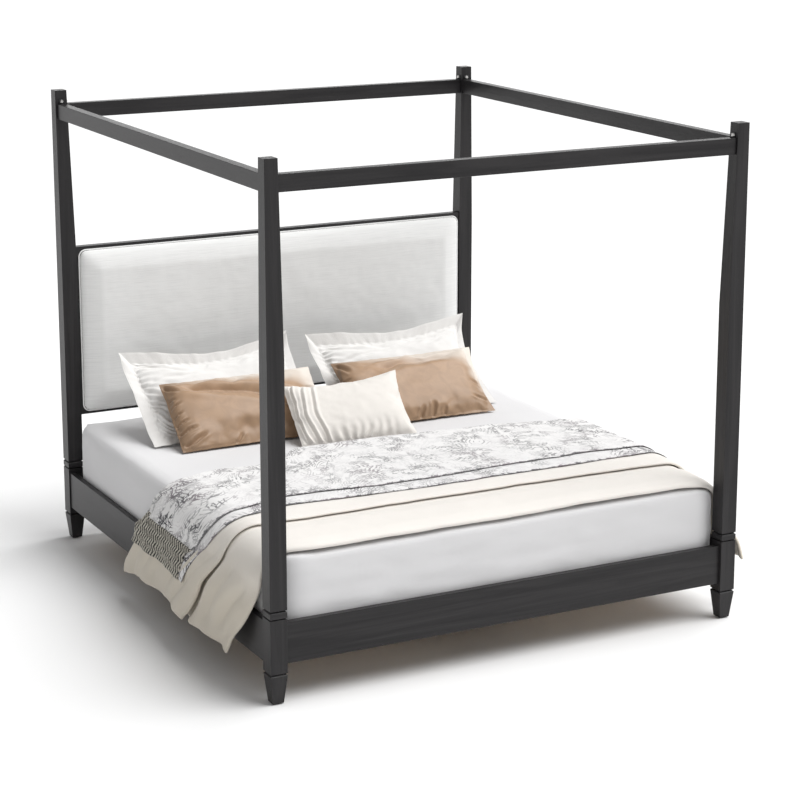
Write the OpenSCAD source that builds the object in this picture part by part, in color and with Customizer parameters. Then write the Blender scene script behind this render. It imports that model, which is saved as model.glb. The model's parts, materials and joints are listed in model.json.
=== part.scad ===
// Four poster canopy bed with an upholstered headboard, a slatted deck, a mattress and its bedding.
// Millimetres, +Z up. The origin is on the floor under the middle of the bed. The foot end faces -Y,
// the headboard is at +Y, and left and right are as seen from the foot end.

/* [Posts] */
// Width of the bed over the outer faces of the posts
frame_w = 2040; // [2030:5:2080]
// Length of the bed over the outer faces of the posts
frame_l = 2250; // [2240:5:2290]
// Height of the posts
frame_h = 2010; // [1980:10:2200]
// Side of the square post below its taper
post_size = 68; // [66:1:76]
// Side of the post at its top
post_top = 52; // [50:1:60]
// Height at which the two inner faces start to lean
taper_z = 1290; // [1200:10:1400]
// Side of the foot where it meets the glide
foot_tip = 44; // [40:1:56]

/* [Bed rails] */
// Height of the rails round the mattress
rail_h = 158; // [150:1:170]
// Underside of those rails above the floor
rail_z = 152; // [140:1:156]
// Thickness of those rails
rail_t = 25; // [22:1:28]
// Step from the post's outer face to a side rail
side_step = 5; // [3:1:8]
// Step from the post's outer face to the foot rail and the head rail
end_step = 13; // [8:1:15]

/* [Canopy] */
// Underside of the canopy rails
canopy_z = 1888; // [1860:4:1900]
// Height of the canopy rails
canopy_h = 64; // [56:1:70]
// Thickness of the canopy rails
canopy_t = 39; // [34:1:42]
// Step from the post's outer face to a canopy rail
canopy_step = 8; // [6:1:9]

/* [Headboard] */
// Underside of the headboard frame
headboard_z = 570; // [560:5:600]
// Top of the headboard frame
headboard_top = 1325; // [1250:5:1400]
// Width of the black margin beside the upholstery
margin = 8; // [6:1:16]
// Width of the black margin above and below it
margin_z = 12; // [8:1:16]
// Depth of the upholstered pad in front of the frame
pad_d = 52; // [40:1:54]

/* [Deck and mattress] */
// Top of the slats above the floor
deck_z = 240; // [236:1:244]
// Number of slats
slat_count = 13; // [11:1:14]
// Width of a slat
slat_w = 70; // [60:1:80]
// Height of the mattress
mattress_h = 305; // [280:5:306]
// Width of the mattress between the side rails
mattress_w = 1944; // [1920:2:1950]
// Length of the mattress
mattress_l = 2080; // [2030:5:2084]

/* [Bedding] */
// Thickness of the folded duvet
duvet_t = 32; // [20:1:34]
// Height of the duvet's hem above the floor
duvet_hem_z = 92; // [80:1:200]
// Width of the bed that the throw covers, foot to head
throw_l = 720; // [500:10:740]
// Angle at which the pillows lean, from level
pillow_lean = 35; // [33:1:37]

/* [Hidden] */

$fn = 64;
half_w = frame_w / 2;
half_l = frame_l / 2;
inner_w = half_w - post_size;      // from the middle to a post's inner face, across
inner_l = half_l - post_size;      // and along the bed
sides = [-1, 1];
eps = 0.5;                         // how far a cutter passes through a face
bore_gap = 0.1;                    // radial room round a bolt

// Heights of the parts of a leg, from the floor up
glide_h = 4;
foot_top = 112;
foot_joint = 117;
block_low = 122;
block_high = 327;
block_joint = 330;
collar_low = 333;
collar_high = 354;
collar_joint = 358.5;
post_low = 363;
groove = 6;                        // how deep the V grooves cut into each face

wood = [0.10, 0.095, 0.095];
pale_wood = [0.78, 0.66, 0.48];
steel = [0.72, 0.72, 0.70];
black_steel = [0.06, 0.06, 0.06];

// Places a child, drawn in the corner with +X and +Y outwards, at one of the four corners
module corner(x, y) {
    flip_x(x < 0) flip_y(y < 0) translate([half_w, half_l, 0]) children();
}
module flip_x(on) {
    if (on) mirror([1, 0, 0]) children();
    else children();
}
module flip_y(on) {
    if (on) mirror([0, 1, 0]) children();
    else children();
}
module all_corners() {
    for (x = sides, y = sides) corner(x, y) children();
}
// Swaps X and Y, for what repeats on the post's other inner face
module other_face() {
    mirror([1, -1, 0]) children();
}
// A square post whose two pairs of faces share one outline. The outline is [offset from the outer face, z].
module four_sided(outline) {
    intersection() {
        rotate([90, 0, 0]) linear_extrude(post_size) polygon(outline);
        other_face() rotate([90, 0, 0]) linear_extrude(post_size) polygon(outline);
    }
}
// A box from its lowest and highest corners
module block(low, high) {
    translate(low) cube(high - low);
}
// Draws its child on both sides of the bed's long middle plane
module both_sides() {
    children();
    mirror([1, 0, 0]) children();
}

// ---- Legs and posts ----

post_axis = [-post_size / 2, -post_size / 2, 0];
stud_r = 5;
leg_stud_l = 60;
foot_stud = [87, 87 + leg_stud_l]; // lower and upper end
post_stud = [292, 402];
function side_at(z) = post_size - (z - taper_z) * (post_size - post_top) / (frame_h - taper_z);

// A bore down the middle of the leg
module leg_bore(ends) {
    translate(post_axis + [0, 0, ends[0]]) cylinder(r = stud_r + bore_gap, h = ends[1] - ends[0]);
}
module foot() {
    tip_in = (post_size - foot_tip) / 2;
    color(wood) difference() {
        four_sided([
            [-tip_in, glide_h], [0, foot_top], [-groove, foot_joint],
            [groove - post_size, foot_joint], [-post_size, foot_top], [tip_in - post_size, glide_h]
        ]);
        leg_bore([foot_stud[0], foot_joint + eps]);
        translate(post_axis) cylinder(r = nail_r + bore_gap, h = glide_h + nail_l);
    }
}
module leg_block() {
    color(wood) difference() {
        four_sided([
            [-groove, foot_joint], [0, block_low], [0, block_high], [-groove, block_joint],
            [groove - post_size, block_joint], [-post_size, block_high],
            [-post_size, block_low], [groove - post_size, foot_joint]
        ]);
        leg_bore([foot_joint - eps, foot_stud[1]]);
        leg_bore([post_stud[0], block_joint + eps]);
        side_rail_bolt_places() bolt_bore(rail_bolt_r, rail_bolt_l);
        end_rail_bolt_places() bolt_bore(rail_bolt_r, rail_bolt_l);
    }
}
module collar() {
    color(wood) difference() {
        four_sided([
            [-groove, block_joint], [0, collar_low], [0, collar_high], [-groove, collar_joint],
            [groove - post_size, collar_joint], [-post_size, collar_high],
            [-post_size, collar_low], [groove - post_size, block_joint]
        ]);
        leg_bore([block_joint - eps, collar_joint + eps]);
    }
}
module post() {
    color(wood) difference() {
        four_sided([
            [-groove, collar_joint], [0, post_low], [0, frame_h], [-post_top, frame_h],
            [-post_size, taper_z], [-post_size, post_low], [groove - post_size, collar_joint]
        ]);
        leg_bore([collar_joint - eps, post_stud[1]]);
        canopy_face() canopy_bolt_bore();
        other_face() canopy_face() canopy_bolt_bore();
    }
}
// A rear post also takes the headboard's bolts
module rear_post() {
    difference() {
        post();
        for (z = headboard_bolt_zs)
            translate([-post_size, headboard_mid_y - half_l, z]) rotate([0, 90, 0])
                bolt_bore(headboard_bolt_r, headboard_bolt_grip);
    }
}
module post_front_left() { corner(-1, -1) post(); }
module post_front_right() { corner(1, -1) post(); }
module post_rear_left() { corner(-1, 1) rear_post(); }
module post_rear_right() { corner(1, 1) rear_post(); }
module collar_front_left() { corner(-1, -1) collar(); }
module collar_front_right() { corner(1, -1) collar(); }
module collar_rear_left() { corner(-1, 1) collar(); }
module collar_rear_right() { corner(1, 1) collar(); }
module leg_block_front_left() { corner(-1, -1) leg_block(); }
module leg_block_front_right() { corner(1, -1) leg_block(); }
module leg_block_rear_left() { corner(-1, 1) leg_block(); }
module leg_block_rear_right() { corner(1, 1) leg_block(); }
module foot_front_left() { corner(-1, -1) foot(); }
module foot_front_right() { corner(1, -1) foot(); }
module foot_rear_left() { corner(-1, 1) foot(); }
module foot_rear_right() { corner(1, 1) foot(); }

glide_r = 15;
nail_r = 2;
nail_l = 16;
module foot_glides() {
    color("dimgray") all_corners() translate(post_axis) {
        cylinder(r = glide_r, h = glide_h);
        cylinder(r = nail_r, h = glide_h + nail_l - 1);
    }
}
// Double-ended studs join each foot to its leg block and each centre leg to the beam
module leg_studs() {
    color(steel) {
        all_corners() translate(post_axis + [0, 0, foot_stud[0]]) cylinder(r = stud_r, h = leg_stud_l);
        for (y = sides) translate([0, y * leg_y, leg_stud[0]]) cylinder(r = stud_r, h = leg_stud_l);
    }
}
module post_studs() {
    color(steel) all_corners() translate(post_axis + [0, 0, post_stud[0]])
        cylinder(r = stud_r, h = post_stud[1] - post_stud[0]);
}

// ---- Rails round the mattress ----

side_rail_x = half_w - side_step - rail_t;     // inner face of a side rail
end_rail_y = half_l - end_step - rail_t;       // inner face of the foot rail and the head rail
rail_top = rail_z + rail_h;

module side_rail() {
    color(wood) difference() {
        block([side_rail_x, -inner_l, rail_z], [side_rail_x + rail_t, inner_l, rail_top]);
        for (y = sides, z = rail_screw_zs)
            translate([side_rail_x, y * (inner_l - bracket_leg / 2), z]) rotate([0, 90, 0]) screw_bore();
        for (y = cleat_screw_ys)
            translate([side_rail_x, y, cleat_mid_z]) rotate([0, 90, 0]) screw_bore();
    }
}
module end_rail() {
    color(wood) difference() {
        block([-inner_w, end_rail_y, rail_z], [inner_w, end_rail_y + rail_t, rail_top]);
        for (x = sides, z = rail_screw_zs)
            translate([x * (inner_w - bracket_leg / 2), end_rail_y, z]) rotate([-90, 0, 0]) screw_bore();
    }
}
module side_rail_left() { mirror([1, 0, 0]) side_rail(); }
module side_rail_right() { side_rail(); }
module foot_rail() { mirror([0, 1, 0]) end_rail(); }
module head_rail() { end_rail(); }

// Angle brackets inside the corners tie each rail to its leg block
bracket_t = 2.5;
bracket_leg = 40;
bracket_z = [rail_z + 6, rail_top - 8];
screw_r = 2;
screw_l = 16;
screw_head_r = 4.2;
screw_head_h = 2.2;
rail_screw_zs = [rail_z + 48, rail_z + 112];
rail_bolt_r = 4;
rail_bolt_l = 38;
rail_bolt_head_r = 6.5;
rail_bolt_head_h = 5;
side_bolt_zs = [rail_z + 24, rail_z + 104];
end_bolt_zs = [rail_z + 56, rail_z + 134];

// Bores and fasteners are drawn from the face they enter, pointing into the wood along +Z
module bolt_bore(r, l) {
    translate([0, 0, -eps]) cylinder(r = r + bore_gap, h = l + eps + 1);
}
module screw_bore() {
    translate([0, 0, -eps]) cylinder(r = screw_r + bore_gap, h = screw_l + eps + 1);
}
module hex_bolt(r, l, head_r, head_h, under) {
    translate([0, 0, -under]) cylinder(r = r, h = l + under);
    translate([0, 0, -under - head_h]) cylinder(r = head_r, h = head_h, $fn = 6);
}
module round_screw(under) {
    translate([0, 0, -under]) cylinder(r = screw_r, h = screw_l + under);
    translate([0, 0, -under - screw_head_h]) cylinder(r = screw_head_r, h = screw_head_h);
}
// Places on the block's inner faces, in the corner's own frame
module side_rail_bolt_places() {
    for (z = side_bolt_zs)
        translate([(side_rail_x + inner_w) / 2 - half_w, -post_size, z]) rotate([-90, 0, 0]) children();
}
module end_rail_bolt_places() {
    for (z = end_bolt_zs)
        translate([-post_size, (end_rail_y + inner_l) / 2 - half_l, z]) rotate([0, 90, 0]) children();
}
module rail_brackets() {
    color(black_steel) all_corners() {
        difference() {
            union() {
                block([inner_w - half_w, -post_size - bracket_t, bracket_z[0]],
                      [side_rail_x - half_w, -post_size, bracket_z[1]]);
                block([side_rail_x - half_w - bracket_t, -post_size - bracket_leg, bracket_z[0]],
                      [side_rail_x - half_w, -post_size, bracket_z[1]]);
            }
            side_rail_bolt_places() cylinder(r = rail_bolt_r + bore_gap, h = 4 * bracket_t, center = true);
            for (z = rail_screw_zs)
                translate([side_rail_x - half_w, -post_size - bracket_leg / 2, z]) rotate([0, 90, 0])
                    cylinder(r = screw_r + bore_gap, h = 4 * bracket_t, center = true);
        }
        difference() {
            union() {
                block([-post_size - bracket_t, inner_l - half_l + bracket_t + 1, bracket_z[0]],
                      [-post_size, end_rail_y - half_l, bracket_z[1]]);
                block([-post_size - bracket_leg, end_rail_y - half_l - bracket_t, bracket_z[0]],
                      [-post_size, end_rail_y - half_l, bracket_z[1]]);
            }
            end_rail_bolt_places() cylinder(r = rail_bolt_r + bore_gap, h = 4 * bracket_t, center = true);
            for (z = rail_screw_zs)
                translate([-post_size - bracket_leg / 2, end_rail_y - half_l, z]) rotate([-90, 0, 0])
                    cylinder(r = screw_r + bore_gap, h = 4 * bracket_t, center = true);
        }
    }
}
module rail_bolt() {
    hex_bolt(rail_bolt_r, rail_bolt_l, rail_bolt_head_r, rail_bolt_head_h, bracket_t);
}
module rail_bolts() {
    color(steel) all_corners() {
        side_rail_bolt_places() rail_bolt();
        end_rail_bolt_places() rail_bolt();
    }
}
module rail_screws() {
    color(steel) all_corners() for (z = rail_screw_zs) {
        translate([side_rail_x - half_w, -post_size - bracket_leg / 2, z]) rotate([0, 90, 0])
            round_screw(bracket_t);
        translate([-post_size - bracket_leg / 2, end_rail_y - half_l, z]) rotate([-90, 0, 0])
            round_screw(bracket_t);
    }
}

// ---- Deck ----

slat_t = 20;
slat_z = deck_z - slat_t;
cleat_w = 32;
cleat_h = 30;
cleat_half_l = inner_l - bracket_leg - 8;
cleat_mid_z = slat_z - cleat_h / 2;
cleat_screw_ys = [for (i = [-3:3]) i * (cleat_half_l - 40) / 3];
cleat_head_d = 6;                  // depth of the counterbore for the screw's head
slat_half_w = side_rail_x - 5;
slat_pitch = (2 * cleat_half_l - slat_w - 10) / (slat_count - 1);
slat_ys = [for (i = [0:slat_count - 1]) (i - (slat_count - 1) / 2) * slat_pitch];

module cleat_right() {
    color(pale_wood) difference() {
        block([side_rail_x - cleat_w, -cleat_half_l, slat_z - cleat_h],
              [side_rail_x, cleat_half_l, slat_z]);
        for (y = cleat_screw_ys) translate([side_rail_x, y, cleat_mid_z]) rotate([0, -90, 0]) {
            translate([0, 0, -eps]) cylinder(r = screw_r + bore_gap, h = cleat_w + 2 * eps);
            translate([0, 0, cleat_w - cleat_head_d])
                cylinder(r = screw_head_r + 0.3, h = cleat_head_d + eps);
        }
    }
}
module cleat_left() { mirror([1, 0, 0]) cleat_right(); }
module cleat_screws() {
    color(steel) both_sides() for (y = cleat_screw_ys)
        translate([side_rail_x, y, cleat_mid_z]) rotate([0, 90, 0]) round_screw(cleat_w - cleat_head_d);
}
module slats() {
    color(pale_wood) for (y = slat_ys)
        block([-slat_half_w, y - slat_w / 2, slat_z], [slat_half_w, y + slat_w / 2, deck_z]);
}

beam_w = 60;
beam_h = 40;
beam_z = slat_z - beam_h;
hanger_t = 3;
hanger_l = 45;
hanger_gap = 0.3;
beam_half_l = end_rail_y - hanger_t - hanger_gap;
leg_y = 550;
leg_size = 45;
leg_z = 24;
leg_stud = [beam_z - leg_stud_l / 2, beam_z + leg_stud_l / 2];
leveller_r = 22;
leveller_base = 8;
leveller_stud_r = 5;
leveller_stud_top = 66;
leveller_fit = 0.06;               // radial running room round the leveller's stud

module centre_beam() {
    color(wood) difference() {
        block([-beam_w / 2, -beam_half_l, beam_z], [beam_w / 2, beam_half_l, slat_z]);
        for (y = sides) translate([0, y * leg_y, beam_z - eps])
            cylinder(r = stud_r + bore_gap, h = leg_stud[1] - beam_z + eps);
    }
}
module beam_hangers() {
    half = beam_w / 2 + hanger_gap;
    color(black_steel) for (y = sides) flip_y(y < 0) {
        block([-half - 20, end_rail_y - hanger_t, beam_z - 14], [half + 20, end_rail_y, slat_z - 2]);
        difference() {
            block([-half - hanger_t, end_rail_y - hanger_l, beam_z - hanger_gap - hanger_t],
                  [half + hanger_t, end_rail_y - hanger_t, slat_z - 2]);
            block([-half, end_rail_y - hanger_l - eps, beam_z - hanger_gap],
                  [half, end_rail_y - hanger_t, slat_z]);
        }
    }
}
module centre_leg() {
    color(wood) difference() {
        block([-leg_size / 2, -leg_size / 2, leg_z], [leg_size / 2, leg_size / 2, beam_z]);
        translate([0, 0, leg_stud[0]]) cylinder(r = stud_r + bore_gap, h = beam_z - leg_stud[0] + eps);
        translate([0, 0, leg_z - eps])
            cylinder(r = leveller_stud_r + leveller_fit, h = leveller_stud_top + 20 - leg_z + eps);
    }
}
module centre_leg_front() { translate([0, -leg_y, 0]) centre_leg(); }
module centre_leg_rear() { translate([0, leg_y, 0]) centre_leg(); }
// A screw-in foot: a domed pad, a hexagon to turn it by and a threaded stud
module leveller() {
    color(steel) {
        cylinder(r = leveller_r, h = leveller_base / 2);
        cylinder(r = 12, h = leveller_base, $fn = 6);
        cylinder(r = leveller_stud_r, h = leveller_stud_top);
    }
}
module leveller_front() { translate([0, -leg_y, 0]) leveller(); }
module leveller_rear() { translate([0, leg_y, 0]) leveller(); }

// ---- Canopy ----

canopy_top = canopy_z + canopy_h;
canopy_lean = atan((post_size - post_top) / (frame_h - taper_z));
plate_t = 3;
plate_w = 24;
plate_up = 20;                     // how far the plate stands above the rail
plate_down = 52;                   // and how far it is let into the rail's end
canopy_bolt_z = 10.5;              // height of the bolt above the rail's top
canopy_bolt_r = 4;
canopy_bolt_l = 17;
canopy_head_r = 8;
canopy_head_h = 5.5;
socket_r = 2.9;

// The post's inner face at the top of the rail, with +X out of the face and +Z up along it
module canopy_face() {
    translate([-side_at(canopy_top), -canopy_step - canopy_t / 2, canopy_top])
        rotate([0, canopy_lean, 0]) mirror([1, 0, 0]) children();
}
module canopy_bolt_bore() {
    translate([eps, 0, canopy_bolt_z]) rotate([0, -90, 0])
        cylinder(r = canopy_bolt_r + bore_gap, h = canopy_bolt_l + 1 + eps);
}
module canopy_plate() {
    difference() {
        translate([0, -plate_w / 2, -plate_down]) cube([plate_t, plate_w, plate_up + plate_down]);
        translate([-eps, 0, canopy_bolt_z]) rotate([0, 90, 0])
            cylinder(r = canopy_bolt_r + bore_gap, h = plate_t + 2 * eps);
    }
}
// A rail along X at the +Y end, with ends that follow the lean of the posts
module canopy_rail(half) {
    low = half - side_at(canopy_z);
    high = half - side_at(canopy_top);
    translate([0, -canopy_step, 0]) rotate([90, 0, 0]) linear_extrude(canopy_t)
        polygon([[-low, canopy_z], [low, canopy_z], [high, canopy_top], [-high, canopy_top]]);
}
module canopy_end_rail() {
    color(wood) difference() {
        translate([0, half_l, 0]) canopy_rail(half_w);
        both_sides() corner(1, 1) canopy_face() plate_recess();
    }
}
module canopy_side_rail() {
    color(wood) difference() {
        translate([half_w, 0, 0]) other_face() canopy_rail(half_l);
        for (y = sides) corner(1, y) other_face() canopy_face() plate_recess();
    }
}
module plate_recess() {
    translate([-eps, -plate_w / 2, -plate_down]) cube([plate_t + eps, plate_w, plate_down + plate_up]);
}
module canopy_rail_left() { mirror([1, 0, 0]) canopy_side_rail(); }
module canopy_rail_right() { canopy_side_rail(); }
module canopy_rail_foot() { mirror([0, 1, 0]) canopy_end_rail(); }
module canopy_rail_head() { canopy_end_rail(); }
module canopy_plates() {
    color(black_steel) all_corners() {
        canopy_face() canopy_plate();
        other_face() canopy_face() canopy_plate();
    }
}
module canopy_bolt() {
    translate([plate_t, 0, canopy_bolt_z]) rotate([0, 90, 0]) {
        translate([0, 0, -plate_t - canopy_bolt_l])
            cylinder(r = canopy_bolt_r, h = plate_t + canopy_bolt_l);
        difference() {
            cylinder(r1 = canopy_head_r, r2 = canopy_head_r - 2.5, h = canopy_head_h);
            translate([0, 0, canopy_head_h - 3]) cylinder(r = socket_r, h = 3 + eps, $fn = 6);
        }
    }
}
module canopy_bolts() {
    color(steel) all_corners() {
        canopy_face() canopy_bolt();
        other_face() canopy_face() canopy_bolt();
    }
}

// ---- Headboard ----

headboard_front = 1062;            // front face of the headboard's wooden frame
headboard_d = 38;
headboard_mid_y = headboard_front + headboard_d / 2;
headboard_rail_h = 60;
stile_w = 60;
stile_x = inner_w - stile_w;
panel_t = 6;
panel_lip = 10;                    // how far the panel sits in its groove
board_t = 12;
piping_r = 3.2;
pad_x = inner_w - margin;          // outer edge of the piping
pad_z = [headboard_z + margin_z, headboard_top - margin_z];
pad_corner_r = 30;
headboard_bolt_r = 4;
headboard_bolt_head_d = 12;
headboard_bolt_grip = 30;          // length of the bolt inside the post
headboard_bolt_zs = [headboard_z + 110, (headboard_z + headboard_top) / 2, headboard_top - 110];
panel_y = headboard_front + headboard_d - panel_t - 6;

// A rounded rectangle in X and Z that is extruded along Y between two depths
module upright_plate(half_x, z, y, r) {
    translate([0, y[1], 0]) rotate([90, 0, 0]) linear_extrude(y[1] - y[0]) rounded_rect(half_x, z, r);
}
module rounded_rect(half_x, z, r) {
    translate([-half_x + r, z[0]]) square([2 * (half_x - r), z[1] - z[0]]);
    translate([-half_x, z[0] + r]) square([2 * half_x, z[1] - z[0] - 2 * r]);
    for (x = sides, end = [z[0] + r, z[1] - r]) translate([x * (half_x - r), end]) circle(r);
}
// The back panel's box, grown by a play across its edges and by another across its faces
module panel_box(edge_play = 0, face_play = 0) {
    half_panel = stile_x + panel_lip + edge_play;
    low_z = headboard_z + headboard_rail_h - panel_lip - edge_play;
    high_z = headboard_top - headboard_rail_h + panel_lip + edge_play;
    block([-half_panel, panel_y - face_play, low_z], [half_panel, panel_y + panel_t + face_play, high_z]);
}
module panel_groove() { panel_box(0.3, 0.2); }
module headboard_rail(low) {
    color(wood) difference() {
        block([-inner_w, headboard_front, low],
              [inner_w, headboard_front + headboard_d, low + headboard_rail_h]);
        panel_groove();
    }
}
module headboard_top_rail() { headboard_rail(headboard_top - headboard_rail_h); }
module headboard_bottom_rail() { headboard_rail(headboard_z); }
module headboard_stile_right() {
    color(wood) difference() {
        block([stile_x, headboard_front, headboard_z + headboard_rail_h],
              [inner_w, headboard_front + headboard_d, headboard_top - headboard_rail_h]);
        panel_groove();
        for (z = headboard_bolt_zs) translate([stile_x, headboard_mid_y, z]) rotate([0, 90, 0]) {
            translate([0, 0, -eps]) cylinder(r = headboard_bolt_r + bore_gap, h = stile_w + 2 * eps);
            translate([0, 0, -eps]) cylinder(r = rail_bolt_head_r + 1, h = headboard_bolt_head_d + eps);
        }
    }
}
module headboard_stile_left() { mirror([1, 0, 0]) headboard_stile_right(); }
module headboard_back_panel() {
    color(wood) panel_box();
}
module headboard_bolts() {
    grip = headboard_bolt_grip;
    under = stile_w - headboard_bolt_head_d;
    color(steel) both_sides() for (z = headboard_bolt_zs)
        translate([inner_w, headboard_mid_y, z]) rotate([0, 90, 0])
            hex_bolt(headboard_bolt_r, grip, rail_bolt_head_r, rail_bolt_head_h, under);
}
module headboard_pad_board() {
    color(pale_wood) upright_plate(pad_x - 12, pad_z + [12, -12],
        [headboard_front - board_t, headboard_front], pad_corner_r - 12);
}
module headboard_pad() {
    edge = 2 * piping_r + 0.2;
    color([0.86, 0.86, 0.85]) difference() {
        upright_plate(pad_x - edge, pad_z + [edge, -edge],
            [headboard_front - pad_d, headboard_front - 0.3], pad_corner_r - edge);
        upright_plate(pad_x - 11.8, pad_z + [11.8, -11.8],
            [headboard_front - board_t - 0.2, headboard_front + eps], pad_corner_r - 11.8);
    }
}
module headboard_piping() {
    y = headboard_front - piping_r - 0.3;
    x = pad_x - pad_corner_r;
    z = pad_z + [pad_corner_r, -pad_corner_r];
    run = pad_corner_r - piping_r;
    color([0.93, 0.93, 0.92]) {
        for (side = sides) translate([side * (x + run), y, z[0]]) cylinder(r = piping_r, h = z[1] - z[0]);
        for (end = [z[0] - run, z[1] + run]) translate([-x, y, end]) rotate([0, 90, 0])
            cylinder(r = piping_r, h = 2 * x);
        for (side = sides, end = [0, 1]) translate([side * x, y, z[end]])
            rotate([90, 0, 0]) rotate([0, 0, piping_turn(side, end)])
                rotate_extrude(angle = 90) translate([run, 0]) circle(piping_r);
    }
}
function piping_turn(side, end) = end == 1 ? (side > 0 ? 0 : 90) : (side > 0 ? -90 : 180);

// ---- Mattress and bedding ----

lay = 0.3;                         // gap between things that lie on each other
mattress_foot_y = -half_l + 48;
mattress_top = deck_z + mattress_h;
bulge_z = rail_top + 6;
bulge = 18;                        // how far the mattress stands out over the side rails

// A slab with rounded corners in plan, lying between two heights
module mattress_slab(half_x, y, z, r) {
    translate([0, 0, z[0]]) linear_extrude(z[1] - z[0]) rounded_rect(half_x, y, r);
}
module mattress() {
    y = [mattress_foot_y, mattress_foot_y + mattress_l];
    half = mattress_w / 2;
    top = mattress_top;
    color([0.9, 0.9, 0.92]) {
        mattress_slab(half, y, [deck_z + lay, bulge_z], 90);
        mattress_slab(half + bulge, y, [bulge_z, top - 60], 112);
        mattress_slab(half + bulge - 10, y + [8, -12], [top - 60, top - 25], 112);
        mattress_slab(half + bulge - 32, y + [26, -36], [top - 25, top], 112);
    }
}

duvet_z = mattress_top + 1;
duvet_top = duvet_z + duvet_t;
duvet_in = half_w + 8;             // inner face of the part that hangs at the side
duvet_y = [-inner_l + 9, 120];
duvet_side_y = 250;                // the hanging sides reach further towards the head
module duvet() {
    out = duvet_in + duvet_t;
    color([0.93, 0.92, 0.90]) {
        block([-out, duvet_y[0], duvet_z], [out, duvet_y[1], duvet_top]);
        both_sides() block([duvet_in, duvet_y[0], duvet_hem_z], [out, duvet_side_y, duvet_top]);
        block([-inner_w + 14, mattress_foot_y - 4, duvet_z], [inner_w - 14, duvet_y[0], duvet_top]);
    }
}

throw_t = 6;
throw_in = duvet_in + duvet_t + 1;
throw_z = duvet_top + 1;
throw_end_z = 395;                 // where the throw's patterned part meets its knitted band
band_z = 262;
throw_y = [duvet_y[1] - throw_l, duvet_y[1]];
throw_side_y = throw_y + [40, 70]; // the hanging ends slant towards the head
module throw() {
    out = throw_in + throw_t;
    color([0.88, 0.87, 0.87]) {
        block([-out, throw_y[0], throw_z], [out, throw_y[1], throw_z + throw_t]);
        both_sides()
            block([throw_in, throw_side_y[0], throw_end_z], [out, throw_side_y[1], throw_z + throw_t]);
    }
}
module throw_bands() {
    color([0.33, 0.32, 0.28]) both_sides()
        block([throw_in, throw_side_y[0], band_z],
              [throw_in + throw_t, throw_side_y[1], throw_end_z - lay]);
}

// Half of a lens: a chord of length h on the Z axis, with a crown of depth b on the +X side
module crown(h, b) {
    r = (h * h / 4 + b * b) / (2 * b);
    intersection() {
        translate([b - r, h / 2]) circle(r, $fn = 180);
        square([b, h]);
    }
}
// A pillow standing on its lower edge: w wide, h high, flange wide, with a crown in front (-Y) and behind
rim_t = 8;
module pillow(w, h, flange, front, back) {
    fill_w = w - 2 * flange;
    fill_h = h - 2 * flange;
    translate([-w / 2, -rim_t / 2, 0]) cube([w, rim_t, h]);
    intersection() {
        translate([-fill_w / 2, 0, flange]) rotate([90, 0, 90]) linear_extrude(fill_w)
            union() { crown(fill_h, back); mirror([1, 0, 0]) crown(fill_h, front); }
        translate([fill_w / 2, 0, flange]) rotate([0, 0, 90]) linear_extrude(fill_h)
            union() { crown(fill_w, back); mirror([1, 0, 0]) crown(fill_w, front); }
    }
}
module leaning(x, y, z, lean, turn) {
    translate([x, y, z]) rotate([0, 0, turn]) rotate([lean - 90, 0, 0]) children();
}
pillow_z = mattress_top + 6;
sham_y = 467;
satin_y = 336;
lumbar_y = 165;
sham_h = 552;
satin_h = 390;
lumbar_h = 335;
module sham(x, w) {
    color("whitesmoke") leaning(x, sham_y, pillow_z, pillow_lean, 0) pillow(w, sham_h, 45, 42, 66);
}
module satin_pillow(x, w) {
    color([0.74, 0.60, 0.49]) leaning(x, satin_y, pillow_z, pillow_lean, 0) pillow(w, satin_h, 0, 52, 26);
}
module sham_left() { sham(-422, 830); }
module sham_right() { sham(490, 820); }
module satin_pillow_left() { satin_pillow(-397, 734); }
module satin_pillow_right() { satin_pillow(432, 715); }
module lumbar_pillow() {
    color([0.93, 0.91, 0.88]) leaning(-14, lumbar_y, pillow_z, pillow_lean + 2, -6)
        pillow(530, lumbar_h, 0, 56, 22);
}

post_front_left();
post_front_right();
post_rear_left();
post_rear_right();
collar_front_left();
collar_front_right();
collar_rear_left();
collar_rear_right();
leg_block_front_left();
leg_block_front_right();
leg_block_rear_left();
leg_block_rear_right();
foot_front_left();
foot_front_right();
foot_rear_left();
foot_rear_right();
foot_glides();
leg_studs();
post_studs();
side_rail_left();
side_rail_right();
foot_rail();
head_rail();
rail_brackets();
rail_bolts();
rail_screws();
cleat_left();
cleat_right();
cleat_screws();
slats();
centre_beam();
beam_hangers();
centre_leg_front();
centre_leg_rear();
leveller_front();
leveller_rear();
canopy_rail_left();
canopy_rail_right();
canopy_rail_foot();
canopy_rail_head();
canopy_plates();
canopy_bolts();
headboard_top_rail();
headboard_bottom_rail();
headboard_stile_left();
headboard_stile_right();
headboard_back_panel();
headboard_pad_board();
headboard_pad();
headboard_piping();
headboard_bolts();
mattress();
duvet();
throw();
throw_bands();
sham_left();
sham_right();
satin_pillow_left();
satin_pillow_right();
lumbar_pillow();
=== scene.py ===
"""Looks of a four poster canopy bed: wood, upholstery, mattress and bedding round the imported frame."""

import json
import math

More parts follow.
